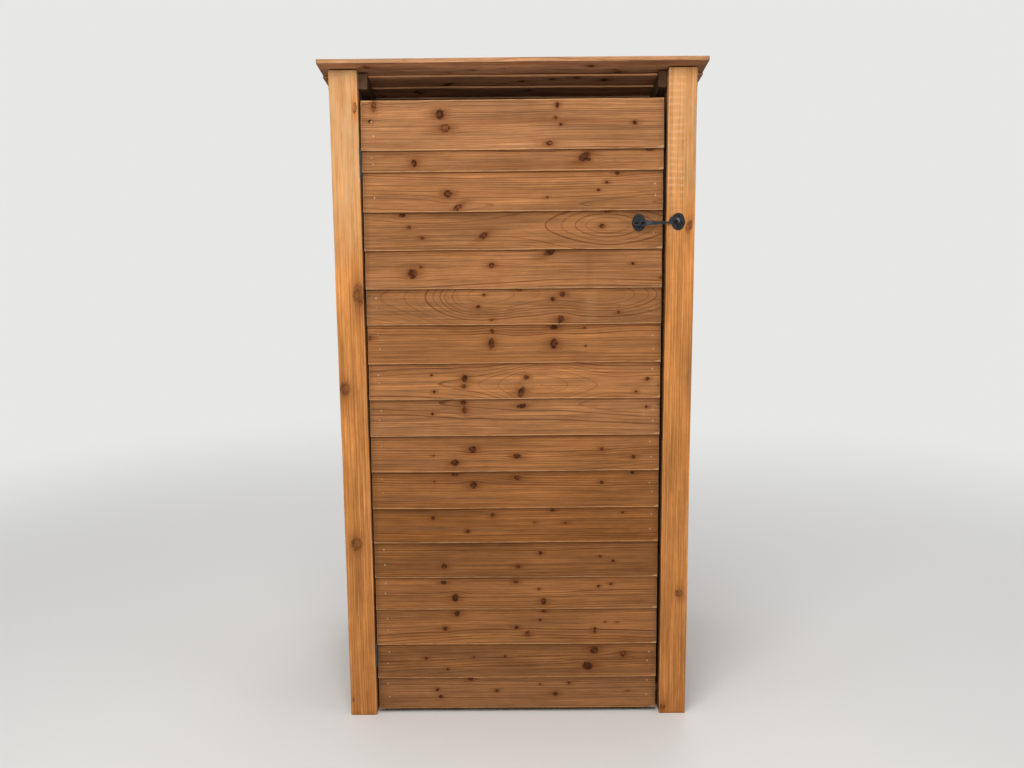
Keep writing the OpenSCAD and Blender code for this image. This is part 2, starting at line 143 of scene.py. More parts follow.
def noise(tree, vector, size, detail=2.0, rough=0.55):
    """Cloudy noise from 0 to 1, with `size` clouds to the metre in each direction."""
    spot = vector_maths(tree, "MULTIPLY", vector, size)
    return shade(tree, "TexNoise", {"Vector": spot, "Scale": 1.0, "Detail": detail,
                                    "Roughness": rough})


def ramp(tree, value, low, high, to_low=0.0, to_high=1.0):
    """A soft step: to_low below low, to_high above high, and an S between them."""
    return shade(tree, "MapRange", {"Value": value, "From Min": low, "From Max": high,
                                    "To Min": to_low, "To Max": to_high},
                 interpolation_type="SMOOTHSTEP")


def blend_colours(tree, share, under, over, how="MIX"):
    """The colour over, laid on the colour under by a share from 0 to 1."""
    return shade(tree, "Mix", {0: share, 6: under, 7: over}, take=2, data_type="RGBA",
                 blend_type=how)


def new_material(name, fixed):
    """A material, as its tree and the sockets of its Principled shader. `fixed` pairs a socket
    with the value that it has all over the surface."""
    made = bpy.data.materials.new(name)
    made.use_nodes = True
    sockets = made.node_tree.nodes["Principled BSDF"].inputs
    for label, value in fixed.items():
        sockets[label].default_value = value
    return made.node_tree, sockets


def add_bump(tree, sockets, height, strength, distance):
    """Leads a height through a Bump node into the shader's Normal."""
    normal = shade(tree, "Bump", {"Strength": strength, "Distance": distance, "Height": height})
    tree.links.new(normal, sockets["Normal"])


print("helpers for shader nodes are ready")

# %% [markdown]
# ## Light
#
# Sawn timber has no gloss to speak of, so it only wants even, soft light. One panel stands in
# front and above, so the top of the store is brighter than its foot. A second stands low in
# front and looks up under the roof, weaker ones fill the sides, and the pale world does the
# rest. Levels are kept where a colour comes out about as it is written.

# %% Lamps and world
def panel(name, place, target, size, watts, colour=(1.0, 1.0, 1.0)):
    """A square area lamp at a place, turned so that its -Z looks at the target."""
    data = bpy.data.lights.new(name, "AREA")
    data.shape = "SQUARE"
    data.size = size
    data.energy = watts
    data.color = colour
    away = np.array(place) - np.array(target)
    side = np.cross((0, 0, 1), away)
    up = np.cross(away, side)
    axes = np.stack([v / np.linalg.norm(v) for v in (side, up, away)], axis=1)
    lamp = put_in_scene(name, data)
    lamp.matrix_world = Matrix.Translation(place) @ Matrix(axes.tolist()).to_4x4()


panel("key_panel", (-0.4, -2.2, 2.7), (0, -0.4, 1.6), 1.6, 50, (1.0, 0.985, 0.96))
panel("front_panel", (0.3, -4.4, 0.7), (0, 0, 1.4), 2.6, 46)
panel("left_panel", (-4.0, -2.2, 1.8), (0, 0, 0.9), 2.2, 14)
panel("right_panel", (4.0, -2.2, 1.8), (0, 0, 0.9), 2.2, 14)
panel("top_panel", (0, 0.2, 4.6), (0, 0, 1), 3.0, 60)
panel("back_panel", (0.8, 4.2, 2.6), (0, 0, 0.9), 2.6, 60)

PALE = (0.80, 0.80, 0.79, 1.0)
SKY_LIGHT, SKY_STRENGTH = (1.0, 0.99, 0.97, 1.0), 0.2
world = bpy.data.worlds.new("studio")
bpy.context.scene.world = world
world.use_nodes = True
sky = world.node_tree
sky.nodes.clear()
shed = shade(sky, "Background", {"Color": SKY_LIGHT, "Strength": SKY_STRENGTH})
seen = shade(sky, "Background", {"Color": PALE, "Strength": 1.0})
by_eye = shade(sky, "LightPath", take="Is Camera Ray")
either = shade(sky, "MixShader", {0: by_eye, 1: shed, 2: seen})
sky.links.new(either, sky.nodes.new("ShaderNodeOutputWorld").inputs["Surface"])
bpy.context.scene.view_settings.view_transform = "Standard"

# %% [markdown]
# ## Floor
#
# The floor is only there to stand on and to take the shadow. It is a wide disc, so no corner of
# it ever shows, made as rings of points round the middle.

# %% A pale floor
def disc_points(radius, rings, sides):
    """Points on a disc: the distance from the middle grows with the square of the ring number."""
    out = radius * (np.arange(1, rings + 1) / rings) ** 2
    turn = 2 * math.pi * np.arange(sides) / sides
    r, t = np.meshgrid(out, turn, indexing="ij")
    grid = np.stack([r * np.cos(t), r * np.sin(t), np.zeros_like(r)], axis=-1)
    return grid.reshape(-1, 3)


def ring_quads(rings, sides):
    """Quads between neighbouring rings of points, closed round the circle."""
    number = np.arange(rings * sides).reshape(rings, sides)
    after = np.roll(number, -1, axis=1)
    quads = np.stack([number[:-1], number[1:], after[1:], after[:-1]], axis=-1)
    return quads.reshape(-1, 4)


def mesh_object(name, points, faces, material_name):
    """A mesh object at the origin, with its place in its points."""
    mesh = bpy.data.meshes.new(name)
    mesh.from_pydata(np.asarray(points).tolist(), [], [list(f) for f in faces])
    mesh.polygons.foreach_set("use_smooth", np.zeros(len(mesh.polygons), bool))
    mesh.validate()
    mesh.update()
    mesh.materials.append(bpy.data.materials[material_name])
    return put_in_scene(name, mesh)


FLOOR_RADIUS, FLOOR_RINGS, FLOOR_SIDES = 14.0, 12, 96
floor_points = disc_points(FLOOR_RADIUS, FLOOR_RINGS, FLOOR_SIDES)
floor_faces = ring_quads(FLOOR_RINGS, FLOOR_SIDES).tolist() + [list(range(FLOOR_SIDES))]
print("floor:", len(floor_points), "points in", FLOOR_RINGS, "rings")

# %% [markdown]
# Near the store the floor is an ordinary matt surface, which takes the shadow. Further out it
# turns, for the camera only, into the colour of the world behind it, so that no horizon shows.

# %% Floor material
FADE_FROM, FADE_TO = 1.3, 4.0
ground, _ = new_material("pale_floor", {
    "Base Color": (0.87, 0.87, 0.86, 1.0), "Roughness": 0.85, "Specular IOR Level": 0.1})
far_off = vector_maths(ground, "LENGTH", shade(ground, "TexCoord", take="Object"), take="Value")
fade = maths(ground, "MULTIPLY", ramp(ground, far_off, FADE_FROM, FADE_TO),
             shade(ground, "LightPath", take="Is Camera Ray"))
matt = ground.nodes["Principled BSDF"].outputs["BSDF"]
haze = shade(ground, "Emission", {"Color": PALE})
either = shade(ground, "MixShader", {0: fade, 1: matt, 2: haze})
ground.links.new(either, ground.nodes["Material Output"].inputs["Surface"])
floor = mesh_object("studio_floor", floor_points, floor_faces, "pale_floor")
print("floor:", len(floor.data.polygons), "faces, fades from", FADE_FROM, "to", FADE_TO, "m")

# %% [markdown]
# ## Timber as if sawn from a log
#
# A board could be a plain box with a wood pattern laid over it, but then the lines on its edge
# never meet the lines on its face. A sawmill does it the other way round: the rings are in the
# log first, and the saw uncovers them. So each timber here is a block of points, and every
# point gets its distance from the pith. The material only has to draw a line wherever that
# distance passes a ring.
#
# The block's corners come from the CAD solid, so first the solids of a node are told apart.

# %% Corners of the CAD solids
def solids_of(node):
    """The distinct corners of each separate solid of a CAD node.

    Corners at one place share a number. The lowest number then spreads over each triangle,
    until nothing changes and every solid carries one number of its own."""
    mesh = frame["nodes"][node].data
    mesh.calc_loop_triangles()
    place = np.empty(3 * len(mesh.vertices), np.float32)
    mesh.vertices.foreach_get("co", place)
    corner = np.empty(3 * len(mesh.loop_triangles), np.int32)
    mesh.loop_triangles.foreach_get("vertices", corner)
    points, shared = np.unique(place.reshape(-1, 3).round(6), axis=0, return_inverse=True)
    triangles = shared.reshape(-1)[corner].reshape(-1, 3)
    label, before = np.arange(len(points)), None
    while before is None or (label != before).any():
        before = label.copy()
        np.minimum.at(label, triangles.ravel(), label[triangles].min(axis=1).repeat(3))
    return [points[label == k].astype(float) for k in np.unique(label)]


ALONG_X, ALONG_Y, ALONG_Z = np.eye(3)


def block_corners(points, along, across, outward):
    """Eight corners as an array [far end][upper edge][outer face] of places.

    The points are halved by how far they lie along, each half by how far across, and each
    pair by how far outward."""
    order = points[np.argsort(points @ along)]
    ends = []
    for half in (order[:4], order[4:]):
        half = half[np.argsort(half @ across)]
        ends.append([pair[np.argsort(pair @ outward)] for pair in (half[:2], half[2:])])
    return np.array(ends)


def mean_edges(corners):
    """The mean edge of a block along, across and outward, as three vectors."""
    return [
        (corners[1] - corners[0]).mean(axis=(0, 1)),
        (corners[:, 1] - corners[:, 0]).mean(axis=(0, 1)),
        (corners[:, :, 1] - corners[:, :, 0]).mean(axis=(0, 1)),
    ]


def face_size(corners, along_axis, across_axis):
    """The length and the height of a block, each measured along one axis of the frame."""
    near, far = corners[0, ..., along_axis], corners[1, ..., along_axis]
    lower, upper = corners[:, 0, :, across_axis], corners[:, 1, :, across_axis]
    return float(far.mean() - near.mean()), float(upper.mean() - lower.mean())


board_corners = [
    block_corners(solid, ALONG_X, ALONG_Z, -ALONG_Y) for solid in solids_of("door_boards")
]
board_corners.sort(key=lambda corners: corners[..., 2].min())
print("door boards:", len(board_corners), "lowest edges at",
      [round(float(c[..., 2].min()), 3) for c in board_corners])

# %% [markdown]
# ### The skin of a block
#
# Only the skin is needed, as quads on six faces that share their corners. The lines that cut
# it up lie close together where a knot is, so that a knot comes out round, and far apart where
# the grain runs straight.

# %% Lines and skin
LEAST_STEP = 0.0008
OVER_A_KNOT = (-1.3, -0.65, 0, 0.65, 1.3)


def cut_lines(length, step, arris, middles=(), radii=()):
    """Places from -length/2 to length/2: even steps, the two arris lines, and five lines over
    each knot, at shares of its radius to either side of its middle."""
    half = length / 2
    even = np.linspace(-half + arris, half - arris, max(2, round(length / step) + 1))
    knots = np.asarray(middles).reshape(-1, 1) + np.outer(radii, OVER_A_KNOT)
    inner = np.unique((np.concatenate([even, knots.ravel()]) / LEAST_STEP).round()) * LEAST_STEP
    inner = inner[np.abs(inner) < half - arris - LEAST_STEP / 2]
    return np.concatenate([[-half, -half + arris], inner, [half - arris, half]])


def block_skin(a, b, c):
    """The skin of the block with lines a, b and c: its points, and quads that face outwards.

    Point (i, j, k) has the number (i * len(b) + j) * len(c) + k. A face is a sheet of such
    numbers, and only the numbers that a face uses are kept."""
    def sheet(i, j, k, turned):
        n = (i * len(b) + j) * len(c) + k
        quads = np.stack([n[:-1, :-1], n[1:, :-1], n[1:, 1:], n[:-1, 1:]], axis=-1)
        return quads.reshape(-1, 4)[:, ::-1] if turned else quads.reshape(-1, 4)

    i, j, k = (np.arange(len(lines)) for lines in (a, b, c))
    sheets = []
    for turned in (True, False):
        end = 0 if turned else -1
        sheets.append(sheet(i[:, None], j[None, :], k[end], turned))
        sheets.append(sheet(i[end], j[:, None], k[None, :], turned))
        sheets.append(sheet(i[None, :], j[end], k[:, None], turned))
    used, quads = np.unique(np.concatenate(sheets), return_inverse=True)
    rest, k = np.divmod(used, len(c))
    i, j = np.divmod(rest, len(b))
    return np.stack([a[i], b[j], c[k]], axis=1), quads.reshape(-1, 4)


def ease_arrises(points, size, arris):
    """Rounds the edges of a block: the part of a point that lies beyond the block less its
    arris is drawn in to the arris radius."""
    inner = size / 2 - arris
    core = np.clip(points, -inner, inner)
    beyond = points - core
    return core + beyond * (arris / np.linalg.norm(beyond, axis=1, keepdims=True))


trial_lines = cut_lines(0.7835, 0.016, 0.001, [0.1, -0.2], [0.008, 0.004])
print("lines along a door board with two knots:", len(trial_lines))

# %% [markdown]
# ### Rings and knots
#
# A tree grows in thin cones round its pith, and the pith wanders a little as the tree leans
# and straightens. A knot is a branch that the saw went through: the rings make way for it on
# both sides, and close to it the wood is darker.

# %% The growth field
# Halo and bent grain round a knot: how far they reach along and across, in the knot's own radii
KNOT_REACH, KNOT_SPREAD = 3.0, 1.7
BEND_REACH, BEND_SPREAD, BEND_SHARE = 4.0, 2.2, 0.8
FAR_FROM_KNOTS = 4.0
# How much thinner the log gets per metre, the step over which steepness is measured, how deep
# the end grain drinks, and how many times further off the arris of a cut end counts as
TRUNK_TAPER, NUDGE, END_DEPTH, END_ARRIS = 0.004, 0.001, 0.002, 3


def gentle_wave(x, seed, lengths, heights):
    """A sum of sines of the given wavelengths and heights, at phases drawn from the seed."""
    phase = np.random.default_rng(seed).uniform(0, 2 * math.pi, len(lengths))
    turns = 2 * math.pi * np.outer(x, 1 / np.asarray(lengths)) + phase
    return np.sin(turns) @ np.asarray(heights)


def growth(place, log, knots):
    """What the saw uncovers at points (along, across, depth), in metres.

    ring: the distance from the pith, after the grain is pressed away from each knot.
    knot: the distance from the nearest knot's middle in its own radii, up to a limit.
    halo: how much of the dark wood round a knot, of a stain or of painted shade is there;
    below 0 it is pale, which at the top of a post is a painted highlight.
    dark: how black the nearest knot is."""
    along, across, depth = place.T
    at, up, long, high, lean, black = np.asarray(knots, float).reshape(-1, 6).T
    da, dc = along[:, None] - at, across[:, None] - up
    ca, cc = np.cos(lean) * da + np.sin(lean) * dc, np.cos(lean) * dc - np.sin(lean) * da
    if len(at):
        away = np.hypot(ca / long, cc / high)
        knot, nearest = np.minimum(away.min(axis=1), FAR_FROM_KNOTS), away.argmin(axis=1)
        near = np.exp(-((ca / (KNOT_REACH * long)) ** 2) - (cc / (KNOT_SPREAD * high)) ** 2)
        halo, dark = near.max(axis=1), black[nearest]
        press = np.exp(-((da / (BEND_REACH * long)) ** 2) - (dc / (BEND_SPREAD * high)) ** 2)
        across = across - BEND_SHARE * (dc * press).sum(axis=1)
    else:
        knot, halo, dark = np.outer((FAR_FROM_KNOTS, 0, 0), np.ones(len(along)))
    pith_across = log["across"] + gentle_wave(along, log["seed"], (1.3, 0.47, 0.19),
                                              (0.005, 0.0014, 0.0004))
    pith_depth = log["depth"] + gentle_wave(along, log["seed"] + 1, (1.7, 0.61), (0.004, 0.0013))
    for middle, spread, swell in log.get("swells", ()):
        pith_depth = pith_depth + swell * np.exp(-(((along - middle) / spread) ** 2))
    # Stains add to the halo, and so do painted shade under each lapping board and at a post's foot,
    # and a painted highlight at a post's top
    for at, up, long, high, strength in log.get("stains", ()):
        off = ((place[:, 0] - at) / long) ** 4 + ((place[:, 1] - up) / high) ** 4
        halo = halo + strength * np.exp(-off)
    ring = np.hypot(across - pith_across, depth - pith_depth) - TRUNK_TAPER * along
    return {"ring": ring, "knot": knot, "halo": halo, "dark": dark}


def timber(corners, log, knots=(), step=0.016, cross_step=0.007, arris=0.001, bow=0.0005,
           outline=None):
    """One timber: its points, quads and growth values.

    The block is worked out at its real size round (0, 0, 0), its arrises are eased, the growth
    is read there, and then each point is carried to its place between the eight corners: a
    mean of the corners, each weighted by how near the point is to it. A slow wave bends it.
    An outline gives the share of the height that is left at a place along the timber.

    steep: how fast the ring value changes over the outer face, 0 where the cut lies flat in
    a ring. arris and end: how near the next arris and the end grain are. lie: the place in
    the wood, for its noise. tone: the log's own tone."""
    _, upward, outward = edges = mean_edges(corners)
    size = np.array([np.linalg.norm(edge) for edge in edges])
    spots = np.asarray(knots, float).reshape(-1, 6)
    points, quads = block_skin(
        cut_lines(size[0], step, arris, spots[:, 0], spots[:, 2]),
        cut_lines(size[1], cross_step, arris, spots[:, 1], spots[:, 3]),
        cut_lines(size[2], max(cross_step, size[2] / 4), arris),
    )
    from_arris = np.sort((size / 2 - np.abs(points)) * (END_ARRIS, 1, 1), axis=1)[:, 1]
    points = ease_arrises(points, size, arris)
    if outline is not None:
        left = outline(points[:, 0])
        points[:, 1] = (points[:, 1] + size[1] / 2) * left - size[1] / 2
    values = growth(points, log, spots)
    further = [growth(points + shift, log, spots)["ring"]
               for shift in ((NUDGE, 0, 0), (0, NUDGE, 0))]
    values.update(
        steep=np.hypot(*(ring - values["ring"] for ring in further)) / NUDGE,
        arris=from_arris,
        end=np.exp(-(size[0] / 2 - np.abs(points[:, 0])) / END_DEPTH),
        lie=points + log["offset"],
        tone=np.tile(log["tone"], (len(points), 1)),
    )
    share = points / size + 0.5
    u, v, w = ((1 - share[:, i], share[:, i]) for i in range(3))
    placed = np.einsum("an,bn,cn,abcd->nd", np.array(u), np.array(v), np.array(w), corners)
    bend = gentle_wave(points[:, 0], log["seed"] + 2, (0.9, 0.33), (bow, bow / 3))
    crook = gentle_wave(points[:, 0], log["seed"] + 3, (1.1, 0.29), (bow, bow / 3))
    placed += np.outer(bend, outward / size[2]) + np.outer(crook, upward / size[1])
    return {"points": placed, "quads": quads, **values}


def a_log(seed, across=None, depth=None, **more):
    """A log to saw from. Where nothing is said, the pith lies outside the timber, as it does
    for most boards. The tone is lightness, where 1 is as written, redness and streakiness."""
    draw = np.random.default_rng(seed)
    free_across = draw.choice([-1, 1]) * draw.uniform(0.03, 0.12)
    free_depth = -draw.uniform(0.01, 0.07)
    return {
        "seed": seed,
        "across": free_across if across is None else across,
        "depth": free_depth if depth is None else depth,
        "offset": draw.uniform(-40, 40, 3).round(2),
        "tone": draw.uniform((0.85, 0, 0), (1.15, 1, 1)),
        **more,
    }


print("a log:", {key: np.round(value, 3) for key, value in a_log(1).items()})

# %% [markdown]
# ### From timbers to a Blender mesh
#
# The timbers of one piece are joined into one mesh. Their growth values become attributes of
# the mesh's points, where the material finds them by name.

# %% Timbers into one mesh
# What each point of a timber carries, with its plain value: a number or a vector
FIELDS = {
    "ring": 0.0, "steep": 1.0, "knot": 4.0, "halo": 0.0, "dark": 0.0, "arris": 0.01, "end": 0.0,
    "lie": (0.0, 0.0, 0.0), "tone": (0.5, 0.5, 0.5),
}


def timber_piece(name, timbers, body, material_name, stands_for):
    """One object from several timbers. Quad numbers are moved on by the points before them."""
    counts = np.cumsum([0] + [len(t["points"]) for t in timbers])[:-1]
    points = np.clip(np.concatenate([t["points"] for t in timbers]), *CAD_BOX)
    quads = np.concatenate([t["quads"] + first for t, first in zip(timbers, counts)])
    mesh = bpy.data.meshes.new(name)
    mesh.vertices.add(len(points))
    mesh.loops.add(quads.size)
    mesh.polygons.add(len(quads))
    mesh.vertices.foreach_set("co", points.astype(np.float32).ravel())
    mesh.loops.foreach_set("vertex_index", quads.astype(np.int32).ravel())
    mesh.polygons.foreach_set("loop_start", np.arange(0, quads.size, 4, dtype=np.int32))
    mesh.polygons.foreach_set("use_smooth", np.zeros(len(quads), bool))
    mesh.update(calc_edges=True)
    for key, plain in FIELDS.items():
        kind, stored = ("FLOAT", "value") if np.size(plain) == 1 else ("FLOAT_VECTOR", "vector")
        value = np.concatenate([t[key] for t in timbers]).astype(np.float32)
        mesh.attributes.new(key, kind, "POINT").data.foreach_set(stored, value.ravel())
    mesh.materials.append(bpy.data.materials[material_name])
    made = put_in_scene(name, mesh)
    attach(made, body)
    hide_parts(*stands_for)
    print(name, len(timbers), "timbers,", 2 * len(quads), "triangles")

# %% [markdown]
# ## The wood itself
#
# Softwood grows a broad pale ring in spring and a thin dark one in late summer, so along the
# distance from the pith the colour climbs slowly and drops at once. Two different logs never
# have the same rings, and one log never has two the same, so noise stretches the widths.
# Over that lie the fibres, cloudy patches where the preservative soaked in unevenly, grey
# streaks, and the knots. The group gives only a colour, a roughness and a height, and each
# material puts them into its own Principled shader.

# %% The sawn softwood group
# How a finish looks, with the plain value of each number; colours are linear
LOOKS = {
    "pale": (0.62, 0.36, 0.18, 1.0), "late": (0.25, 0.11, 0.05, 1.0), "ring_width": 0.0036,
    "ring_contrast": 0.8, "saw_marks": 0.0, "worn": 0.5, "grain": 1.0, "mottle": 1.0,
    "knot_depth": 0.92,
}


def label_of(key):
    """The socket that a key of LOOKS or FIELDS goes into."""
    return key.replace("_", " ").title()


def new_group(name, inputs, outputs):
    """An empty node group: its tree, its inputs by name, and the node that takes its outputs.
    An input is a number, three numbers for a vector or four for a colour."""
    tree = bpy.data.node_groups.new(name, "ShaderNodeTree")
    for label, value in inputs.items():
        kind = {1: "Float", 3: "Vector", 4: "Color"}[np.size(value)]
        socket = tree.interface.new_socket(label, in_out="INPUT", socket_type="NodeSocket" + kind)
        socket.default_value = value
    for label, kind in outputs.items():
        tree.interface.new_socket(label, in_out="OUTPUT", socket_type="NodeSocket" + kind)
    return tree, tree.nodes.new("NodeGroupInput").outputs, tree.nodes.new("NodeGroupOutput").inputs


wood, given, taken = new_group(
    "sawn_softwood",
    {label_of(key): plain for key, plain in {**LOOKS, **FIELDS}.items()},
    {"Color": "Color", "Roughness": "Float", "Height": "Float"},
)
times, plus, less, over = (partial(maths, wood, sum_of)
                           for sum_of in ("MULTIPLY", "ADD", "SUBTRACT", "DIVIDE"))
cloud = partial(noise, wood, given["Lie"])
step, blend = partial(ramp, wood), partial(blend_colours, wood)
light, red, streaky = (shade(wood, "SeparateXYZ", {0: given["Tone"]}, take) for take in range(3))
along = shade(wood, "SeparateXYZ", {0: given["Lie"]})
ring, contrast, steep = given["Ring"], given["Ring Contrast"], given["Steep"]
grain, mottle, knot_depth = given["Grain"], given["Mottle"], given["Knot Depth"]


def grey_of(level):
    """A grey as light as the level."""
    return shade(wood, "CombineColor", {0: level, 1: level, 2: level})


# Rings: the distance in ring widths, shifted by slow noise, cut to what is past the last ring.
# Where the cut lies nearly flat in a ring, the dark end of the ring is kept narrow.
SLOW_PER_METRE, SLOW_SHIFT, FINE_SHIFT = 60.0, 2.4, 0.22
slow = shade(wood, "TexNoise", {"W": times(ring, SLOW_PER_METRE), "Scale": 1.0, "Detail": 2.0},
             noise_dimensions="1D")
count = plus(over(ring, given["Ring Width"]), times(slow, SLOW_SHIFT))
count = plus(count, times(cloud((3.5, 45, 45), 3), FINE_SHIFT))
short = over(less(1.0, shade(wood, "Math", {0: count}, operation="FRACT")),
             step(steep, 0.05, 0.5, 0.25, 1.0))
past_ring = less(1.0, short, clamp=True)
own = shade(wood, "TexWhiteNoise", {"W": shade(wood, "Math", {0: count}, operation="FLOOR")},
            noise_dimensions="1D")
late = times(step(past_ring, 0.60, 0.92), step(past_ring, 0.95, 1.0, 1.0, 0.0))
late = times(late, step(own, 0.0, 1.0, 0.2, 0.95))
late = times(late, step(steep, 0.04, 0.4, 0.8, 1.0))

# Fibres, patches and streaks, all long in the direction of the grain
fibre = cloud((5, 480, 480))
thread = cloud((1.8, 230, 230), 3, 0.7)
patch = cloud((3.2, 17, 17), 4, 0.6)
fleck = cloud((28, 90, 90), 3, 0.6)
streak = step(plus(cloud((2.2, 60, 60), 3, 0.6), times(streaky, 0.14)), 0.56, 0.78)

BROWN_STREAK = (0.17, 0.085, 0.045, 1.0)
COOL_WOOD, RED_WOOD = (1.0, 1.13, 1.42, 1.0), (1.0, 0.93, 0.76, 1.0)
colour = blend(times(late, contrast), given["Pale"], given["Late"])
for layer, strength in ((fibre, times(grain, 1.1)), (step(thread, 0.36, 0.64), times(grain, 0.24)),
                        (patch, mottle), (fleck, times(mottle, 0.35))):
    light = times(light, plus(times(less(layer, 0.5), strength), 1.0))
colour = blend(1.0, colour, grey_of(light), "MULTIPLY")
colour = blend(1.0, colour, blend(red, COOL_WOOD, RED_WOOD), "MULTIPLY")
colour = blend(times(streak, 0.35), colour, BROWN_STREAK)

# Knots: a ragged dark core, darker still at its rim, in a warm halo that runs along the grain
KNOT_RED, KNOT_BLACK = (0.150, 0.048, 0.015, 1.0), (0.046, 0.013, 0.005, 1.0)
KNOT_RIM, HALO_STAIN_AND_SHADE_BROWN = (0.028, 0.008, 0.003, 1.0), (0.150, 0.046, 0.013, 1.0)
PALE_PATCH_AND_HIGHLIGHT = (0.575, 0.372, 0.187, 1.0)
blotch = cloud((120, 120, 120))
reach = plus(given["Knot"], times(less(cloud((150, 230, 230), 4, 0.65), 0.5), 1.5))
core = times(step(reach, 0.7, 1.5, 1.0, 0.0), step(blotch, 0.3, 0.7, 1.05, 0.75), clamp=True)
rim = times(step(reach, 0.3, 0.9), step(reach, 0.95, 1.5, 1.0, 0.0))
rim = times(rim, step(blotch, 0.4, 0.65, 0.8, 0.1))
core_colour = blend(1.0, blend(given["Dark"], KNOT_RED, KNOT_BLACK),
                    grey_of(step(blotch, 0.35, 0.65, 0.7, 1.5)), "MULTIPLY")
# Besides knots and stains, the halo carries painted light: where it is above 0 the wood browns,
# which is painted shade under each lapping board and at a post's foot; where it is below 0 the wood
# pales, which is a painted highlight at a post's top
pale_patch_and_highlight = times(step(given["Halo"], -1.0, 0.0, 1.0, 0.0),
               step(cloud((14, 60, 60), 4), 0.3, 0.7, 0.5, 1.2))
halo_stain_and_shade = times(given["Halo"], step(thread, 0.2, 0.8, 0.7, 1.2), clamp=True)
colour = blend(times(pale_patch_and_highlight, 0.6), colour, PALE_PATCH_AND_HIGHLIGHT)
colour = blend(times(halo_stain_and_shade, knot_depth), colour, HALO_STAIN_AND_SHADE_BROWN)
colour = blend(times(core, knot_depth), colour, core_colour)
colour = blend(times(rim, knot_depth), colour, KNOT_RIM)

# The end grain drinks more preservative, and a sawn arris wears pale
END_BROWN, WORN_PALE = (0.07, 0.035, 0.016, 1.0), (0.72, 0.42, 0.20, 1.0)
end = times(given["End"], step(cloud((600, 1400, 1400), 1), 0.3, 0.7, 0.35, 0.62))
colour = blend(end, colour, END_BROWN)
worn = times(step(given["Arris"], 0.0008, 0.0032, 1.0, 0.0),
             step(cloud((30, 300, 300), 3), 0.3, 0.6, 0.2, 0.75))
colour = blend(times(worn, given["Worn"]), colour, WORN_PALE)

# Saw marks: the blade leaves a line across the timber at each stroke, here deep, there not
STROKE, SAWN_PALE = 0.017, (0.80, 0.50, 0.29, 1.0)
stroke = plus(times(along, 2 * math.pi / STROKE), times(cloud((6, 12, 12)), 5.0))
mark = step(shade(wood, "Math", {0: stroke}, operation="SINE"), -0.2, 1.0)
mark = times(mark, step(cloud((14, 40, 40), 3), 0.32, 0.68, 0.15, 1.0))
mark = times(mark, given["Saw Marks"])
colour = blend(times(mark, 0.28), colour, SAWN_PALE)

height = plus(plus(times(fibre, 0.5), times(late, 0.45)), times(mark, 0.6))
for label, value in (("Color", colour), ("Roughness", step(fibre, 0.2, 0.8, 0.62, 0.8)),
                     ("Height", height)):
    wood.links.new(value, taken[label])
print("sawn_softwood:", len(wood.nodes), "nodes")

# %% [markdown]
# ### One material for each kind of timber
#
# The posts were sawn from younger, paler wood and keep an orange tint; the feather-edge boards
# are browner. What differs between them is only a handful of numbers. On the right post the saw
# has left its strokes high up on the door's side only, so there a mask by height and by x is
# multiplied in.

# %% Wood materials
FIBRE_BUMP, FIBRE_DEPTH = 0.35, 0.0006
SAW_FADE_HEIGHT, SAW_FADE_WIDTH = 0.1, 0.012


def wood_material(name, saw_area=None, **looks):
    """A Principled wood that reads the timber's attributes and hands them to the group.

    saw_area is (lowest z, highest x) of the part that shows saw marks, if not all does."""
    tree, sockets = new_material(name, {"Specular IOR Level": 0.06})
    group = tree.nodes.new("ShaderNodeGroup")
    group.node_tree = wood
    for key, value in {**LOOKS, **looks}.items():
        group.inputs[label_of(key)].default_value = value
    for key, plain in FIELDS.items():
        kind = "Fac" if np.size(plain) == 1 else "Vector"
        read = shade(tree, "Attribute", take=kind, attribute_name=key)
        tree.links.new(read, group.inputs[label_of(key)])
    if saw_area:
        lowest, furthest = saw_area
        x, z = (shade(tree, "SeparateXYZ", {0: shade(tree, "TexCoord", take="Object")}, axis)
                for axis in (0, 2))
        high = ramp(tree, z, lowest - SAW_FADE_HEIGHT, lowest + SAW_FADE_HEIGHT)
        near = ramp(tree, x, furthest - SAW_FADE_WIDTH, furthest, 1.0, 0.0)
        tree.links.new(maths(tree, "MULTIPLY", high, near), group.inputs["Saw Marks"])
    add_bump(tree, sockets, group.outputs["Height"], FIBRE_BUMP, FIBRE_DEPTH)
    tree.links.new(group.outputs["Color"], sockets["Base Color"])
    tree.links.new(group.outputs["Roughness"], sockets["Roughness"])


POST = {"pale": (0.53, 0.208, 0.055, 1), "late": (0.37, 0.13, 0.03, 1), "ring_width": 0.0052,
        "ring_contrast": 0.42, "worn": 0.25, "grain": 1.35, "mottle": 1.3, "knot_depth": 0.55}
wood_material("post_wood", **POST)
wood_material("sawn_post_wood", saw_area=(1.38, 0.448), **POST)
wood_material("board_wood", pale=(0.300, 0.1225, 0.0405, 1), late=(0.115, 0.036, 0.011, 1),
              ring_width=0.0050, ring_contrast=1.0, worn=0.75, grain=1.15, mottle=1.2)
wood_material("roof_wood", pale=(0.36, 0.155, 0.064, 1), late=(0.11, 0.040, 0.014, 1), worn=0.3,
              mottle=2.0)
wood_material("slat_wood", pale=(0.36, 0.155, 0.056, 1), late=(0.19, 0.070, 0.022, 1),
              saw_marks=0.4)
wood_material("frame_wood", pale=(0.17, 0.090, 0.038, 1), late=(0.08, 0.036, 0.015, 1),
              saw_marks=0.3, worn=0.04)
print("wood materials:", [m.name for m in bpy.data.materials if m.name.endswith("_wood")])

# %% [markdown]
# ## The door
#
# Feather-edge boards are made in pairs: a plank is sawn in two on the slant, and the halves,
# laid side by side, mirror each other. Where two neighbours on this door are such a pair, they
# come from one log here too, and the upper one is turned over.
#
# Each knot is written down by where it sits on its board: how far from the door's left edge,
# how far above the board's lower edge, half its length and half its height, all in millimetres,
# then how black it is and its slant in degrees. A row may leave out the last two.

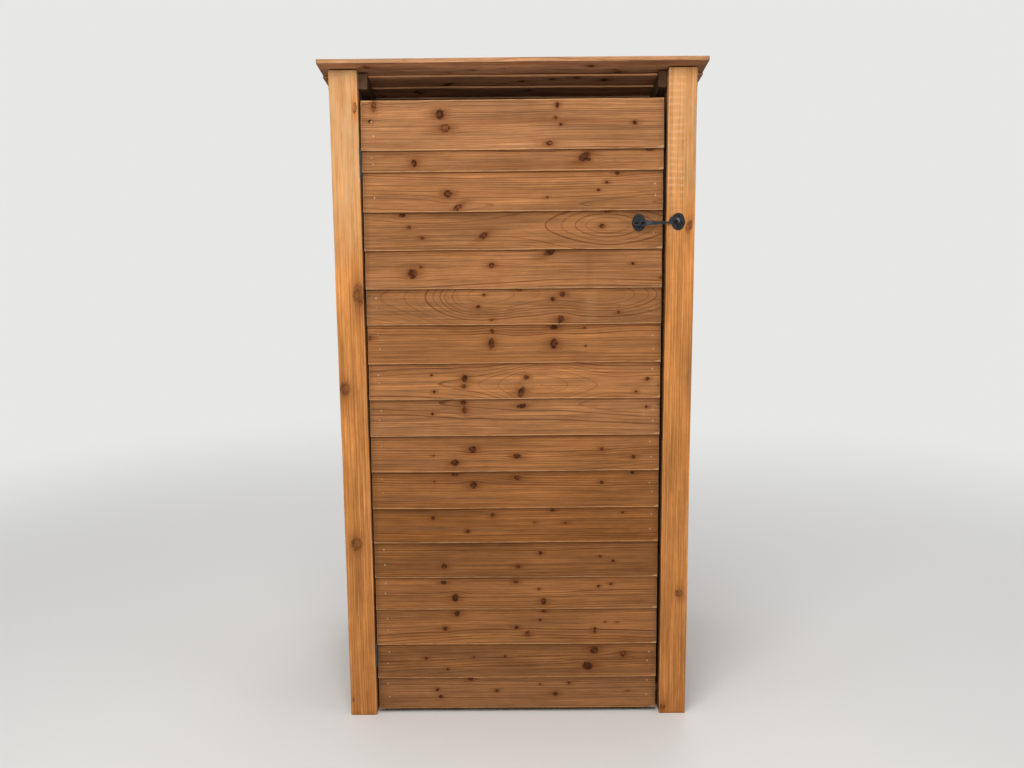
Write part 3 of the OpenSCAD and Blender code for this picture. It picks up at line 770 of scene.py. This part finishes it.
# %% Knots of the door boards
DOOR_KNOTS = {
    16: [(205, 91, 9, 11, 1), (218, 55, 11, 9, 0.1), (34, 114, 5, 12, 0.3), (24, 74, 4, 4, 0.6),
         (508, 112, 4, 7, 0.9), (504, 80, 3, 3), (517, 62, 3, 3), (708, 65, 4.5, 4.5, 1),
         (487, 14, 7, 5, 0.3)],
    15: [(136, 22, 6, 8), (579, 35, 13, 9, 1, 30), (590, 28, 4, 4, 1), (747, 53, 8, 5, 0.6),
         (364, 55, 4, 2, 0.6)],
    14: [(222, 46, 9, 9, 0.5), (247, 11, 11, 6, 0.4, 35), (664, 95, 4, 4, 0.8),
         (637, 72, 3, 3, 0.8), (615, 53, 3, 3), (482, 35, 2.5, 2.5, 0.8)],
    13: [(101, 92, 7, 4), (118, 60, 4, 4, 0.2), (152, 32, 5, 4, 0.6), (314, 37, 9, 7, 0.7, 30),
         (640, 98, 6, 3, 0.6), (625, 59, 5, 5, 0.4)],
    12: [(488, 95, 13, 7, 1, 25), (124, 40, 10, 10, 0.8), (147, 58, 3, 3), (334, 61, 6, 6, 0.6),
         (707, 63, 3, 3, 0.8), (782, 25, 3, 3, 0.6)],
    11: [(313, 79, 3, 3), (297, 48, 4, 4, 0.6), (333, 13, 2.5, 2.5, 0.6), (496, 67, 5, 5),
         (521, 80, 6, 6), (516, 13, 8, 8, 0.9), (670, 30, 3, 3), (406, 91, 5, 2, 0.6)],
    10: [(333, 85, 5, 5), (331, 53, 7, 11, 1), (499, 94, 9, 5, 1), (498, 51, 8, 11, 1),
         (6, 70, 5, 5, 0.3), (580, 92, 2.5, 2.5), (583, 44, 2, 2)],
    9: [(258, 56, 6, 9, 1), (255, 35, 5, 5), (424, 58, 5, 5, 0.6), (410, 17, 7, 12, 0.9, -25),
        (169, 66, 2.5, 2.5), (175, 21, 3, 3, 0.6), (749, 51, 4, 4), (719, 17, 3, 3, 0.6)],
    8: [(253, 90, 6, 5, 0.8), (256, 70, 5, 8), (411, 80, 11, 5, 1), (169, 60, 3, 3),
        (747, 75, 3, 3, 0.8)],
    7: [(276, 61, 8, 8, 0.9), (227, 25, 9, 7, 1), (397, 42, 8, 6, 0.9), (628, 59, 4, 4),
        (714, 37, 4, 4), (170, 45, 2, 2, 0.6)],
    6: [(227, 94, 8, 4, 0.8), (397, 84, 7, 5, 0.5), (277, 65, 8, 8, 0.9), (628, 68, 4, 4),
        (713, 95, 4, 4), (170, 76, 2, 2, 0.6)],
    5: [(164, 70, 4, 4), (329, 76, 5, 5, 0.6), (494, 88, 5, 3), (259, 32, 4.5, 4.5),
        (444, 55, 2.5, 2.5, 0.6), (530, 53, 3, 3, 0.6), (686, 81, 2.5, 2.5)],
    4: [(459, 68, 4.5, 4.5), (193, 32, 6, 6, 0.6), (397, 31, 5, 5, 0.6), (626, 57, 3, 3),
        (661, 44, 3, 3)],
    3: [(190, 76, 6, 4, 0.6), (391, 77, 5, 4), (455, 56, 3, 3), (222, 32, 7, 9, 1),
        (468, 21, 6, 8, 0.8), (621, 63, 3, 3), (655, 69, 3, 3)],
    2: [(225, 88, 6, 6), (469, 93, 5, 3), (192, 45, 5, 5, 0.6), (392, 47, 4.5, 4.5),
        (423, 29, 6, 6, 0.6), (458, 68, 3, 3, 0.6), (611, 39, 3, 6, 0.8), (640, 62, 2, 2),
        (674, 61, 2, 2)],
    1: [(136, 57, 4, 4), (198, 25, 4, 3, 0.6), (359, 61, 3, 3, 0.6), (610, 76, 9, 9, 0.8),
        (590, 31, 12, 10, 1), (692, 65, 7, 7, 0.4), (271, 59, 2, 2)],
    0: [(261, 86, 5, 5), (166, 55, 3.5, 3.5), (175, 34, 4, 4, 0.6), (334, 51, 4, 4),
        (501, 41, 5, 5, 0.9), (539, 73, 3, 3), (457, 69, 2, 2, 0.6), (706, 48, 2, 2)],
}


MOST_KNOTS = (0.7, 0)


def board_knots(rows, length, height):
    """Knots in metres from the middle of the board, from rows in millimetres from its corner."""
    full = [row + MOST_KNOTS[len(row) - 4:] for row in rows]
    at, up, long, high, black, slant = np.array(full, float).T
    return np.stack([at / 1000 - length / 2, up / 1000 - height / 2, long / 1000, high / 1000,
                     np.radians(slant), black], axis=1)


print("door knots:", sum(len(rows) for rows in DOOR_KNOTS.values()))

# %% [markdown]
# What a board shows of its rings depends on where in the log it was sawn. Far from the pith
# the rings run as straight lines from end to end. Where the cut only just touches a ring, a
# small swelling of the trunk turns the lines into long pointed ovals.

# %% Logs of the door boards
DOOR_LIGHTNESS = [0.89, 0.83, 1.02, 0.95, 0.75, 0.82, 0.90, 1.01, 1.07, 1.20, 1.03, 0.91, 1.12,
                  0.89, 1.03, 1.01, 1.08]
DOOR_REDNESS = [0.2, 0.5, 0.6, 0.6, 0.7, 0.9, 0.8, 0.6, 0.3, 0.5, 0.6, 0.4, 0.4, 0.4, 0.4, 0.3, 0.1]
STAINS = {
    16: [(465, 72, 190, 8, 0.5)],
    15: [(475, 16, 230, 9, 0.4)],
    14: [(140, 70, 2, 40, 0.3), (149, 75, 2, 35, 0.3), (430, 52, 200, 8, 0.2)],
    12: [(592, 50, 2, 50, 0.25)],
    11: [(597, 50, 23, 60, -0.25), (387, 40, 9, 5, 0.5)],
    8: [(740, 60, 5, 25, -0.3)],
    1: [(575, 30, 16, 22, -0.4)],
}
# Painted shade: a dark band where the next board covers this one, which stands for the shadow
# under that board's edge. The numbers are how far above that board's lower edge its middle
# lies, half its length, half its height, and how dark it is
SHADE_UP, SHADE_LENGTH, SHADE_HEIGHT, SHADE_STRENGTH = 0.010, 0.6, 0.012, 1.0
DOOR_ARRIS, POST_ARRIS = 0.0009, 0.0015


def board_stains(rows, length, height):
    """Stains in metres from the middle of the board, from rows in millimetres."""
    return [(at / 1000 - length / 2, up / 1000 - height / 2, long / 1000, high / 1000, strength)
            for at, up, long, high, strength in rows]


DOOR_LOGS = [
    a_log(100 + k, tone=(lightness, redness, 0.3 + 0.5 * ((k * 7) % 5) / 5))
    for k, (lightness, redness) in enumerate(zip(DOOR_LIGHTNESS, DOOR_REDNESS))
]
DOOR_LOGS[13].update(across=-0.006, depth=-0.085, swells=[(0.246, 0.15, 0.026)])
DOOR_LOGS[11].update(across=0.012, depth=-0.10, swells=[(-0.09, 0.16, 0.050), (0.24, 0.22, 0.040)])
DOOR_LOGS[9].update(across=-0.024, depth=-0.065, swells=[(0.074, 0.117, 0.022)])
for upper, lower in ((8, 9), (6, 7), (3, 4)):
    pair = DOOR_LOGS[lower]
    DOOR_LOGS[upper].update(across=-pair["across"], depth=pair["depth"], seed=pair["seed"],
                            offset=pair["offset"])

for k, corners in enumerate(board_corners):
    length, height = face_size(corners, 0, 2)
    stains = board_stains(STAINS.get(k, []), length, height)
    # Painted shade: each board but the top one gets the dark band below the board that laps over it
    if k < len(board_corners) - 1:
        covered = float(board_corners[k + 1][:, 0, :, 2].mean() - corners[:, 0, :, 2].mean())
        stains.append((0, covered + SHADE_UP - height / 2, SHADE_LENGTH, SHADE_HEIGHT,
                       SHADE_STRENGTH))
    DOOR_LOGS[k]["stains"] = stains
    knots = board_knots(DOOR_KNOTS[k], length, height)
    cut = timber(corners, DOOR_LOGS[k], knots, arris=DOOR_ARRIS)
    timber_piece(f"door_board_{k + 1:02d}", [cut], "door", "board_wood", ("door_boards",))

# %% [markdown]
# ## Posts and uprights
#
# The two posts in front are the palest timber on the store, with a knot here and there and the
# lines that the saw blade left across them. Their knots are written as height above the
# ground, distance from the post's left edge, half its height, half its width, blackness and
# slant.

# %% Front posts
POST_TONE = (1.0, 0.5, 0.3)
# In each post's list of stains, the first row is a painted highlight over the top of the post and
# the last row is painted shade towards its foot; the rows between are small dark marks
FRONT_POSTS = {
    "front_post_left": {
        "finish": "post_wood",
        "knots": [(1672, 65, 13, 5, 0.1), (1192, 61, 24, 13, 0.3), (940, 15, 16, 12, 0.2),
                  (506, 31, 16, 13, 0.15), (47, 7, 4, 2, 1)],
        "log": a_log(201, across=0.075, depth=-0.03, tone=POST_TONE, stains=[
            (0.85, 0.0, 0.46, 0.2, -0.9), (0.30, 0.028, 0.050, 0.016, 0.2),
            (0.05, -0.018, 0.034, 0.016, 0.15), (-0.38, -0.004, 0.03, 0.02, 0.1),
            (-0.78, 0.0, 0.42, 0.2, 0.22)]),
    },
    "front_post_right": {
        "finish": "sawn_post_wood",
        "knots": [(1365, 58, 13, 7, 0.5, 15), (357, 49, 9, 9, 0.45), (19, 9, 8, 8, 0.3)],
        "log": a_log(202, across=-0.09, depth=-0.02, tone=POST_TONE, stains=[
            (0.85, 0.0, 0.36, 0.2, -0.6), (-0.75, 0.0, 0.4, 0.2, 0.38)]),
    },
}
for node, post in FRONT_POSTS.items():
    (solid,) = solids_of(node)
    corners = block_corners(solid, ALONG_Z, ALONG_X, -ALONG_Y)
    knots = board_knots(post["knots"], *face_size(corners, 2, 0))
    cut = timber(corners, post["log"], knots, arris=POST_ARRIS)
    timber_piece(node + "_timber", [cut], "frame", post["finish"], (node,))

# %% [markdown]
# The uprights behind the posts and at the back, the rafters, the floor bearers and the frame of
# the door are ordinary sawn timber. A table says how each lies: the way its grain runs, the way
# across, and the way it faces.

# %% Framing timbers
UPRIGHT_INWARD, UPRIGHT_FRONT = (ALONG_Z, ALONG_X, ALONG_Y), (ALONG_Z, ALONG_X, -ALONG_Y)
DEEP, DEEP_MIRRORED = (ALONG_Y, ALONG_Z, ALONG_X), (ALONG_Y, ALONG_Z, -ALONG_X)
LEVEL = (ALONG_X, ALONG_Z, ALONG_Y)
FRAMING = {
    "front_upright_left": UPRIGHT_INWARD, "front_upright_right": UPRIGHT_INWARD,
    "rear_upright_left": UPRIGHT_FRONT, "rear_upright_right": UPRIGHT_FRONT,
    "rear_upright_middle": UPRIGHT_FRONT, "rafter_left": DEEP, "rafter_right": DEEP_MIRRORED,
    "floor_bearers": DEEP, "door_stile_hinge_side": UPRIGHT_INWARD,
    "door_stile_hook_side": UPRIGHT_INWARD, "door_rail_top": LEVEL, "door_rail_middle": LEVEL,
    "door_rail_bottom": LEVEL,
}
PLAIN_STEPS = {"step": 0.03, "cross_step": 0.012}


def chance_knots(seed, length, height, number, largest=0.008):
    """A few knots at random places on a timber, most of them small."""
    draw = np.random.default_rng(seed)
    size = largest * draw.uniform(0.25, 1, number) ** 1.6
    return np.stack([
        draw.uniform(-0.46, 0.46, number) * length, draw.uniform(-0.4, 0.4, number) * height,
        size, size * draw.uniform(0.7, 1.2, number), draw.uniform(-0.5, 0.5, number),
        draw.uniform(0.3, 1, number),
    ], axis=1)


def plain_timber(points, ways, seed, knots=4, **more):
    """A timber of a node, with its log and its few knots drawn from one seed."""
    corners = block_corners(points, *ways)
    length, height, _ = (np.linalg.norm(edge) for edge in mean_edges(corners))
    spots = chance_knots(seed, length, height, knots)
    return timber(corners, a_log(seed, **more), spots, **PLAIN_STEPS)


# Painted shade: the rafters under the roof and the door's bottom rail under the boards sit in
# shade, and a dark tone paints it in
PAINTED_SHADE_TONES = {"rafter_left": (0.30, 0.0, 0.8), "rafter_right": (0.30, 0.0, 0.8),
         "door_rail_bottom": (0.35, 0.3, 0.8)}
for n, (node, ways) in enumerate(FRAMING.items()):
    tone = {"tone": PAINTED_SHADE_TONES[node]} if node in PAINTED_SHADE_TONES else {}
    cuts = [plain_timber(solid, ways, 300 + 10 * n + k, **tone)
            for k, solid in enumerate(solids_of(node))]
    body, slot = (("door", "door_frame_timber") if node.startswith("door_")
                  else ("frame", "frame_timber"))
    timber_piece(node + "_timber", cuts, body, "frame_wood", (node,))

# %% [markdown]
# ## Slats and floor
#
# The slats are thin sawn boards with gaps between them, so that air gets at the logs. The
# topmost slats at the sides are cut to the roof's slope. A slanted cut doesn't bend the grain,
# so the block is first squeezed to the outline, and the rings are read after that.

# %% Side slats, back slats and floor slats
def height_at(points, y):
    """The height of a side slat at y: between its corners its top is a straight line."""
    places = np.unique(points[:, 1].round(5))
    tops = np.array([points[np.abs(points[:, 1] - place) < 1e-4, 2].max() for place in places])
    return np.interp(y, places, tops) - points[:, 2].min()


def sloped_slat(points, outward, seed):
    """A side slat, squeezed so that its top follows the highest corners of the solid."""
    low, high = points.min(axis=0), points.max(axis=0)
    length, height = high[1] - low[1], high[2] - low[2]

    def share_of_height(along):
        """How much of the full height is left at a place along the slat."""
        return np.maximum(height_at(points, along + (low[1] + high[1]) / 2) / height, 0.01)

    box = np.array([[x, y, z] for x in (low[0], high[0]) for y in (low[1], high[1])
                    for z in (low[2], high[2])])
    corners = block_corners(box, ALONG_Y, ALONG_Z, outward)
    spots = chance_knots(seed, length, height, 4 if height > 0.05 else 0)
    return timber(corners, a_log(seed), spots, **PLAIN_STEPS, outline=share_of_height)


FLAT = (ALONG_X, ALONG_Y, ALONG_Z)
for node, cut_slat, lies, seed in (
    ("side_slats_left", sloped_slat, -ALONG_X, 500),
    ("side_slats_right", sloped_slat, ALONG_X, 550),
    ("back_slats", plain_timber, LEVEL, 600),
    ("floor_slats", plain_timber, FLAT, 640),
):
    cuts = [cut_slat(solid, lies, seed + k) for k, solid in enumerate(solids_of(node))]
    timber_piece(node + "_timber", cuts, "frame", "slat_wood", (node,))

# %% [markdown]
# ## Roof
#
# The roof is covered with the same feather-edge boards as the door, thick edge down the slope.
# It takes the most weather, so its wood is patchier than the slats', with darker rings.

# %% Roof boards
UP_SLOPE = (ALONG_X, -ALONG_Y, ALONG_Z)
ROOF_LIGHTNESS = (1.05, 1.3, 1.4, 0.95)
roof_solids = sorted(solids_of("roof_boards"), key=lambda points: points[:, 1].min())
roof_cuts = [
    plain_timber(solid, UP_SLOPE, 700 + k, knots=12 if k < 3 else 4,
                 tone=(ROOF_LIGHTNESS[min(k, 3)] - 0.04 * (k % 3), 0.3, 0.9))
    for k, solid in enumerate(roof_solids)
]
timber_piece("roof_boards_timber", roof_cuts, "frame", "roof_wood", ("roof_boards",))

# %% [markdown]
# ## Nails and screws
#
# Every board is nailed twice at each end, with small heads that are driven almost flush.
# A nail is one profile turned round its axis. The same points are then carried to each place by
# one array product, and turned so that the axis stands on the face there.

# %% One nail, many places
def lathe(profile, sides):
    """A closed form turned from a profile of (radius, height) that starts and ends on the axis.

    The two ends are single points. Between them lie rings, joined by quads."""
    profile = np.asarray(profile, float)
    turn = 2 * math.pi * np.arange(sides) / sides
    rings = [np.stack([r * np.cos(turn), r * np.sin(turn), np.full(sides, h)], axis=1)
             for r, h in profile[1:-1]]
    points = np.concatenate([[[0, 0, profile[0, 1]]], *rings, [[0, 0, profile[-1, 1]]]])
    inner = 1 + np.arange(sides)
    outer = inner + (len(rings) - 1) * sides
    first = np.stack([np.zeros(sides, int), inner, np.roll(inner, -1)], axis=1)
    last = np.stack([outer, np.full(sides, len(points) - 1), np.roll(outer, -1)], axis=1)
    quads = 1 + ring_quads(len(rings), sides)
    return points, [*first.tolist(), *quads.tolist(), *last.tolist()]


def carried(form, places, normals, turns):
    """Copies of a form, each with its axis along a normal and turned about it.

    Two axes square to each normal come from cross products, so points @ axes is every copy."""
    points, faces = form
    n = np.asarray(normals, float)
    side = np.cross(n, np.where(np.abs(n[:, 2:]) > 0.9, [[1.0, 0, 0]], [[0, 0, 1.0]]))
    side /= np.linalg.norm(side, axis=1, keepdims=True)
    up = np.cross(n, side)
    c, s = np.cos(turns)[:, None], np.sin(turns)[:, None]
    axes = np.stack([c * side + s * up, c * up - s * side, n], axis=1)
    moved = points @ axes + np.asarray(places)[:, None, :]
    numbered = [[v + k * len(points) for v in face] for k in range(len(n)) for face in faces]
    return moved.reshape(-1, 3), numbered


def on_face(corners, along_share, across_share):
    """A place on a timber's outer face, by shares of its length and height, and the normal."""
    face = corners[:, :, 1]
    ends = face[0] + (face[1] - face[0]) * along_share
    place = ends[0] + (ends[1] - ends[0]) * across_share
    normal = np.cross(face[1, 0] - face[0, 0], face[0, 1] - face[0, 0])
    normal /= np.linalg.norm(normal)
    inward = corners[0, 0, 0] - corners[0, 0, 1]
    return place, -normal if normal @ inward > 0 else normal


NAIL_PROFILE = [(0, 0.25), (1.1, 0.22), (1.7, 0.1), (1.9, -0.1), (1.9, -0.5), (1.1, -0.7),
                (1.1, -4.0), (0, -4.4)]
NAIL = lathe(np.array(NAIL_PROFILE) / 1000, 10)


def nail_piece(name, spots, body, seed, form=NAIL, material="nail_steel"):
    """One object of many nails. A spot is a place and a normal."""
    places, normals = (np.array(part) for part in zip(*spots))
    turns = np.random.default_rng(seed).uniform(0, math.tau, len(spots))
    points, faces = carried(form, places, normals, turns)
    made = mesh_object(name, points, faces, material)
    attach(made, body)
    print(name, len(spots), "of them,", len(faces), "faces")


# %% [markdown]
# Steel nails for the boards, dull zinc for the hinges, and black for the hook. Each has the small
# unevenness that plating or casting leaves. The zinc is painted far darker than bare zinc, as
# painted shade of the gap the hinges sit in, and the hook has painted shadows in its slots and
# hole and painted highlights on its arm and curl.

# %% Metals
def metal_material(name, colour, roughness, metallic, grain, bump, worn, wear, gloss=0.5,
                   painted_light=()):
    """A metal with cloudy roughness, a fine bump and cloudy patches of a second colour.

    Each row of the spots is a soft ellipse of another colour, which paints shade or a highlight:
    x, z, half its width, half its height, colour."""
    tree, sockets = new_material(name, {"Metallic": metallic, "Specular IOR Level": gloss})
    spot = shade(tree, "TexCoord", take="Object")
    cloud = noise(tree, spot, (90, 90, 90), detail=4)
    grit = noise(tree, spot, (grain, grain, grain), detail=3)
    patch = maths(tree, "MULTIPLY", ramp(tree, cloud, 0.5, 0.68), wear)
    colour = blend_colours(tree, patch, colour, worn)
    for x, z, wide, high, other in painted_light:
        off = vector_maths(tree, "SUBTRACT", spot, (x, 0, z))
        off = vector_maths(tree, "MULTIPLY", off, (1 / wide, 0, 1 / high))
        far = vector_maths(tree, "LENGTH", off, take="Value")
        colour = blend_colours(tree, ramp(tree, far, 0.7, 1.1, 1.0, 0.0), colour, other)
    tree.links.new(colour, sockets["Base Color"])
    tree.links.new(ramp(tree, cloud, 0.25, 0.75, roughness - 0.08, roughness + 0.1),
                   sockets["Roughness"])
    add_bump(tree, sockets, grit, bump, 0.0012)


metal_material("nail_steel", (0.44, 0.36, 0.28, 1), 0.5, 0.3, 900, 0.1,
               worn=(0.22, 0.13, 0.07, 1), wear=0.9)
# Painted shade: the hinges' zinc is far darker than bare zinc, for the shade of the narrow gap
# between door and post where they sit
metal_material("zinc_steel", (0.055, 0.05, 0.045, 1), 0.6, 0.3, 500, 0.15,
               worn=(0.035, 0.03, 0.025, 1), wear=0.6, gloss=0.2)
# Painted light on the black hook: painted shadow in the slots either side of the pivot and in the
# hole of the curl, a painted sheen on the arm's thick root, and a painted highlight on the top of
# the curl
PAINTED_SHADOW, PAINTED_SHEEN, PAINTED_GLINT = (0.0008, 0.0008, 0.001, 1), (0.035, 0.035, 0.052, 1), (0.11, 0.12, 0.16, 1)
pivot = np.array(next(j["pos_m"] for j in frame["joints"] if j["name"] == "hook_lift"))
x, _, z = pivot.tolist()
metal_material("blackened_iron", (0.008, 0.009, 0.014, 1), 0.27, 0.0, 260, 0.9,
               worn=(0.024, 0.028, 0.045, 1), wear=0.6, gloss=0.26,
               painted_light=((x + 0.024, z, 0.011, 0.006, PAINTED_SHEEN),
                        (x - 0.007, z, 0.0055, 0.0034, PAINTED_SHADOW),
                        (x + 0.0115, z, 0.0065, 0.0034, PAINTED_SHADOW),
                        (x + 0.0985, z + 0.006, 0.0075, 0.0065, PAINTED_GLINT),
                        (x + 0.0955, z + 0.003, 0.0062, 0.0055, PAINTED_SHADOW)))
print("metals:", [m.name for m in bpy.data.materials if m.name.endswith(("steel", "iron"))])

# %% [markdown]
# On the door the nails sit about 28 mm in at the hinge side and 21 mm in at the hook side. They
# were driven by hand, so each is a few millimetres off.

# %% Nails of the door
FROM_HINGE_EDGE, FROM_HOOK_EDGE = 0.029, 0.021
UP_WIDE_BOARD, UP_RIPPED_BOARD = (0.074, 0.042), (0.042, 0.018)
draw = np.random.default_rng(11)
door_nails = []
for corners in board_corners:
    length, height = face_size(corners, 0, 2)
    for from_left in (FROM_HINGE_EDGE, length - FROM_HOOK_EDGE):
        for up in UP_WIDE_BOARD if height > 0.1 else UP_RIPPED_BOARD:
            share = ((from_left + draw.uniform(-0.004, 0.004)) / length,
                     (up + draw.uniform(-0.007, 0.007)) / height)
            door_nails.append(on_face(corners, *share))
nail_piece("door_nails", door_nails, "door", 12)

# %% [markdown]
# The slats are nailed to the uprights they cross, and the roof boards to the rafters. Only the
# heads of these nails show.

# %% Nails of slats, floor and roof
def crossing_nails(solids, ways, lines, insets, seed):
    """Nails on the outer faces of timbers, where lines cross them.

    lines are places along the timber's grain, and insets are shares of its height."""
    pick = np.random.default_rng(seed)
    spots = []
    for solid in solids:
        corners = block_corners(solid, *ways)
        low, high = (corners[end].reshape(-1, 3).mean(axis=0) @ ways[0] for end in (0, 1))
        for line in lines:
            for share in insets:
                offset = pick.uniform(-0.003, 0.003)
                spots.append(on_face(corners, (line + offset - low) / (high - low),
                                     share + pick.uniform(-0.03, 0.03)))
    return spots


def middle_of(node, axis):
    """The middle of a node's box along one axis."""
    low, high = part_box(node)
    return (low[axis] + high[axis]) / 2


SLAT_INSETS, FLOOR_INSETS, ROOF_INSETS = (0.28, 0.72), (0.25, 0.75), (0.45,)
LEAST_NAILED_HEIGHT = 0.04
front_line, rear_line = (middle_of(f"{which}_upright_left", 1) for which in ("front", "rear"))
for node, side, seed in (("side_slats_left", -1, 21), ("side_slats_right", 1, 22)):
    pick = np.random.default_rng(seed)
    spots = []
    for solid in solids_of(node):
        face = side * (side * solid[:, 0]).max()
        for line in (front_line, rear_line):
            high = height_at(solid, line) if np.ptp(np.sign(solid[:, 1] - line)) == 2 else 0
            spots += [(np.array([face, line + pick.uniform(-0.003, 0.003),
                                 solid[:, 2].min() + share * high]), side * ALONG_X)
                      for share in SLAT_INSETS if high > LEAST_NAILED_HEIGHT]
    nail_piece(node + "_nails", spots, "frame", seed)

back_lines = [middle_of(f"rear_upright_{which}", 0) for which in ("left", "middle", "right")]
floor_lines = (middle_of("floor_slats", 0), -0.37, 0.37)
roof_lines = [middle_of(f"rafter_{side}", 0) for side in ("left", "right")]
for node, solids, ways, lines, insets, seed in (
    ("back_slats", solids_of("back_slats"), LEVEL, back_lines, SLAT_INSETS, 23),
    ("floor_slats", solids_of("floor_slats"), FLAT, floor_lines, FLOOR_INSETS, 24),
    ("roof_boards", roof_solids, UP_SLOPE, roof_lines, ROOF_INSETS, 25),
):
    spots = crossing_nails(solids, ways, lines, insets, seed)
    nail_piece(node + "_nails", spots, "frame", seed)

# %% [markdown]
# A screw head is a flat disc with a cross pressed into it. It starts as a polar grid: a point
# goes down by the depth of the recess where it lies within half a slot's width of either of the
# two lines through the middle.

# %% Screws with a cross recess
def screw_head(radius, sides=48):
    """A countersunk head with a cross recess, as a lathe form whose top is pressed in."""
    steps = np.array([0.12, 0.22, 0.32, 0.42, 0.52, 0.60, 0.66, 0.80, 0.95, 1.0]) * radius
    dome = 0.05 * radius * (1 - (steps / radius) ** 2)
    profile = [(0, dome[0]), *zip(steps, dome), (radius, -0.1 * radius),
               (0.5 * radius, -0.6 * radius), (0, -0.65 * radius)]
    points, faces = lathe(profile, sides)
    x, y, z = points.T
    out = np.hypot(x, y)
    slot = 0.13 * radius * (1.25 - 0.5 * out / (0.6 * radius))
    pressed = (np.minimum(np.abs(x), np.abs(y)) < slot) & (out < 0.62 * radius) & (z > 0)
    points[:, 2] -= np.where(pressed, 0.3 * radius, 0)
    return points, faces


ROSETTE_SCREW, ROSETTE_SCREW_PLACE, ROSETTE_FACE, STAPLE_FACE = 0.0036, 0.014, 0.0033, 0.003
HINGE_SCREW, HINGE_SCREW_PLACE, HINGE_SCREW_PITCH = 0.0037, 0.021, 0.027
LEAF_THICKNESS, BOARD_LAP = 0.0014, 0.03
hook_board = next(c for c in board_corners
                  if c[..., 2].min() < pivot[2] < c[..., 2].max() - BOARD_LAP)
share = ((pivot[0] - hook_board[0, ..., 0].mean())
         / (hook_board[1, ..., 0].mean() - hook_board[0, ..., 0].mean()))
rise = (pivot[2] - hook_board[:, 0, 1, 2].mean()) / np.ptp(hook_board[0, :, 1, 2])
on_board, board_normal = on_face(hook_board, share, rise)
up_board = np.cross(board_normal, ALONG_X)
up_board *= np.sign(up_board[2])
black_screw = screw_head(ROSETTE_SCREW)
spots = [(on_board + ROSETTE_FACE * board_normal + side * ROSETTE_SCREW_PLACE * up_board,
          board_normal) for side in (-1, 1)]
nail_piece("door_rosette_screws", spots, "door", 31, black_screw,
           "blackened_iron")
(_, high_y, _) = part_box("staple_rosette")[1]
middle = np.array([middle_of("staple_rosette", 0), high_y - STAPLE_FACE,
                   middle_of("staple_rosette", 2)])
spots = [(middle + side * ROSETTE_SCREW_PLACE * ALONG_Z, -ALONG_Y) for side in (-1, 1)]
nail_piece("post_rosette_screws", spots, "frame", 32, black_screw,
           "blackened_iron")

for leaf, body, outward in (("frame_leaf", "frame", ALONG_X), ("door_leaf", "door", -ALONG_X)):
    spots = []
    for hinge in ("upper_hinge", "lower_hinge"):
        low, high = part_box(f"{hinge}_{leaf}")
        wall = low[0] + LEAF_THICKNESS if body == "frame" else high[0] - LEAF_THICKNESS
        for row in (-1, 0, 1):
            place = np.array([wall, middle_of(f"{hinge}_pin", 1) + HINGE_SCREW_PLACE,
                              middle_of(f"{hinge}_{leaf}", 2) + row * HINGE_SCREW_PITCH])
            spots.append((place, outward))
    nail_piece(f"hinge_{leaf}_screws", spots, body, 33, screw_head(HINGE_SCREW),
               material="zinc_steel")

# %% [markdown]
# The hinges, the hook and its rosettes keep their CAD meshes, whose shapes are right already,
# and only take the new metals.

# %% Metals on the CAD pieces
for node, made in frame["nodes"].items():
    if "hinge" in node and "stile" not in node:
        finish_name = "zinc_steel"
    elif node in ("hook_rosette", "hook_arm", "staple_rosette"):
        finish_name = "blackened_iron"
    else:
        continue
    made.data.materials.clear()
    made.data.materials.append(bpy.data.materials[finish_name])
    print(node, "is", finish_name)

# %% [markdown]
# ## Sizes, and done
#
# The picture model has to stay the size of the CAD model, so the CAD box is written down.

# %% Write down the CAD box, and finish
print("CAD box   ", [[round(v, 4) for v in c] for c in CAD_BOX])
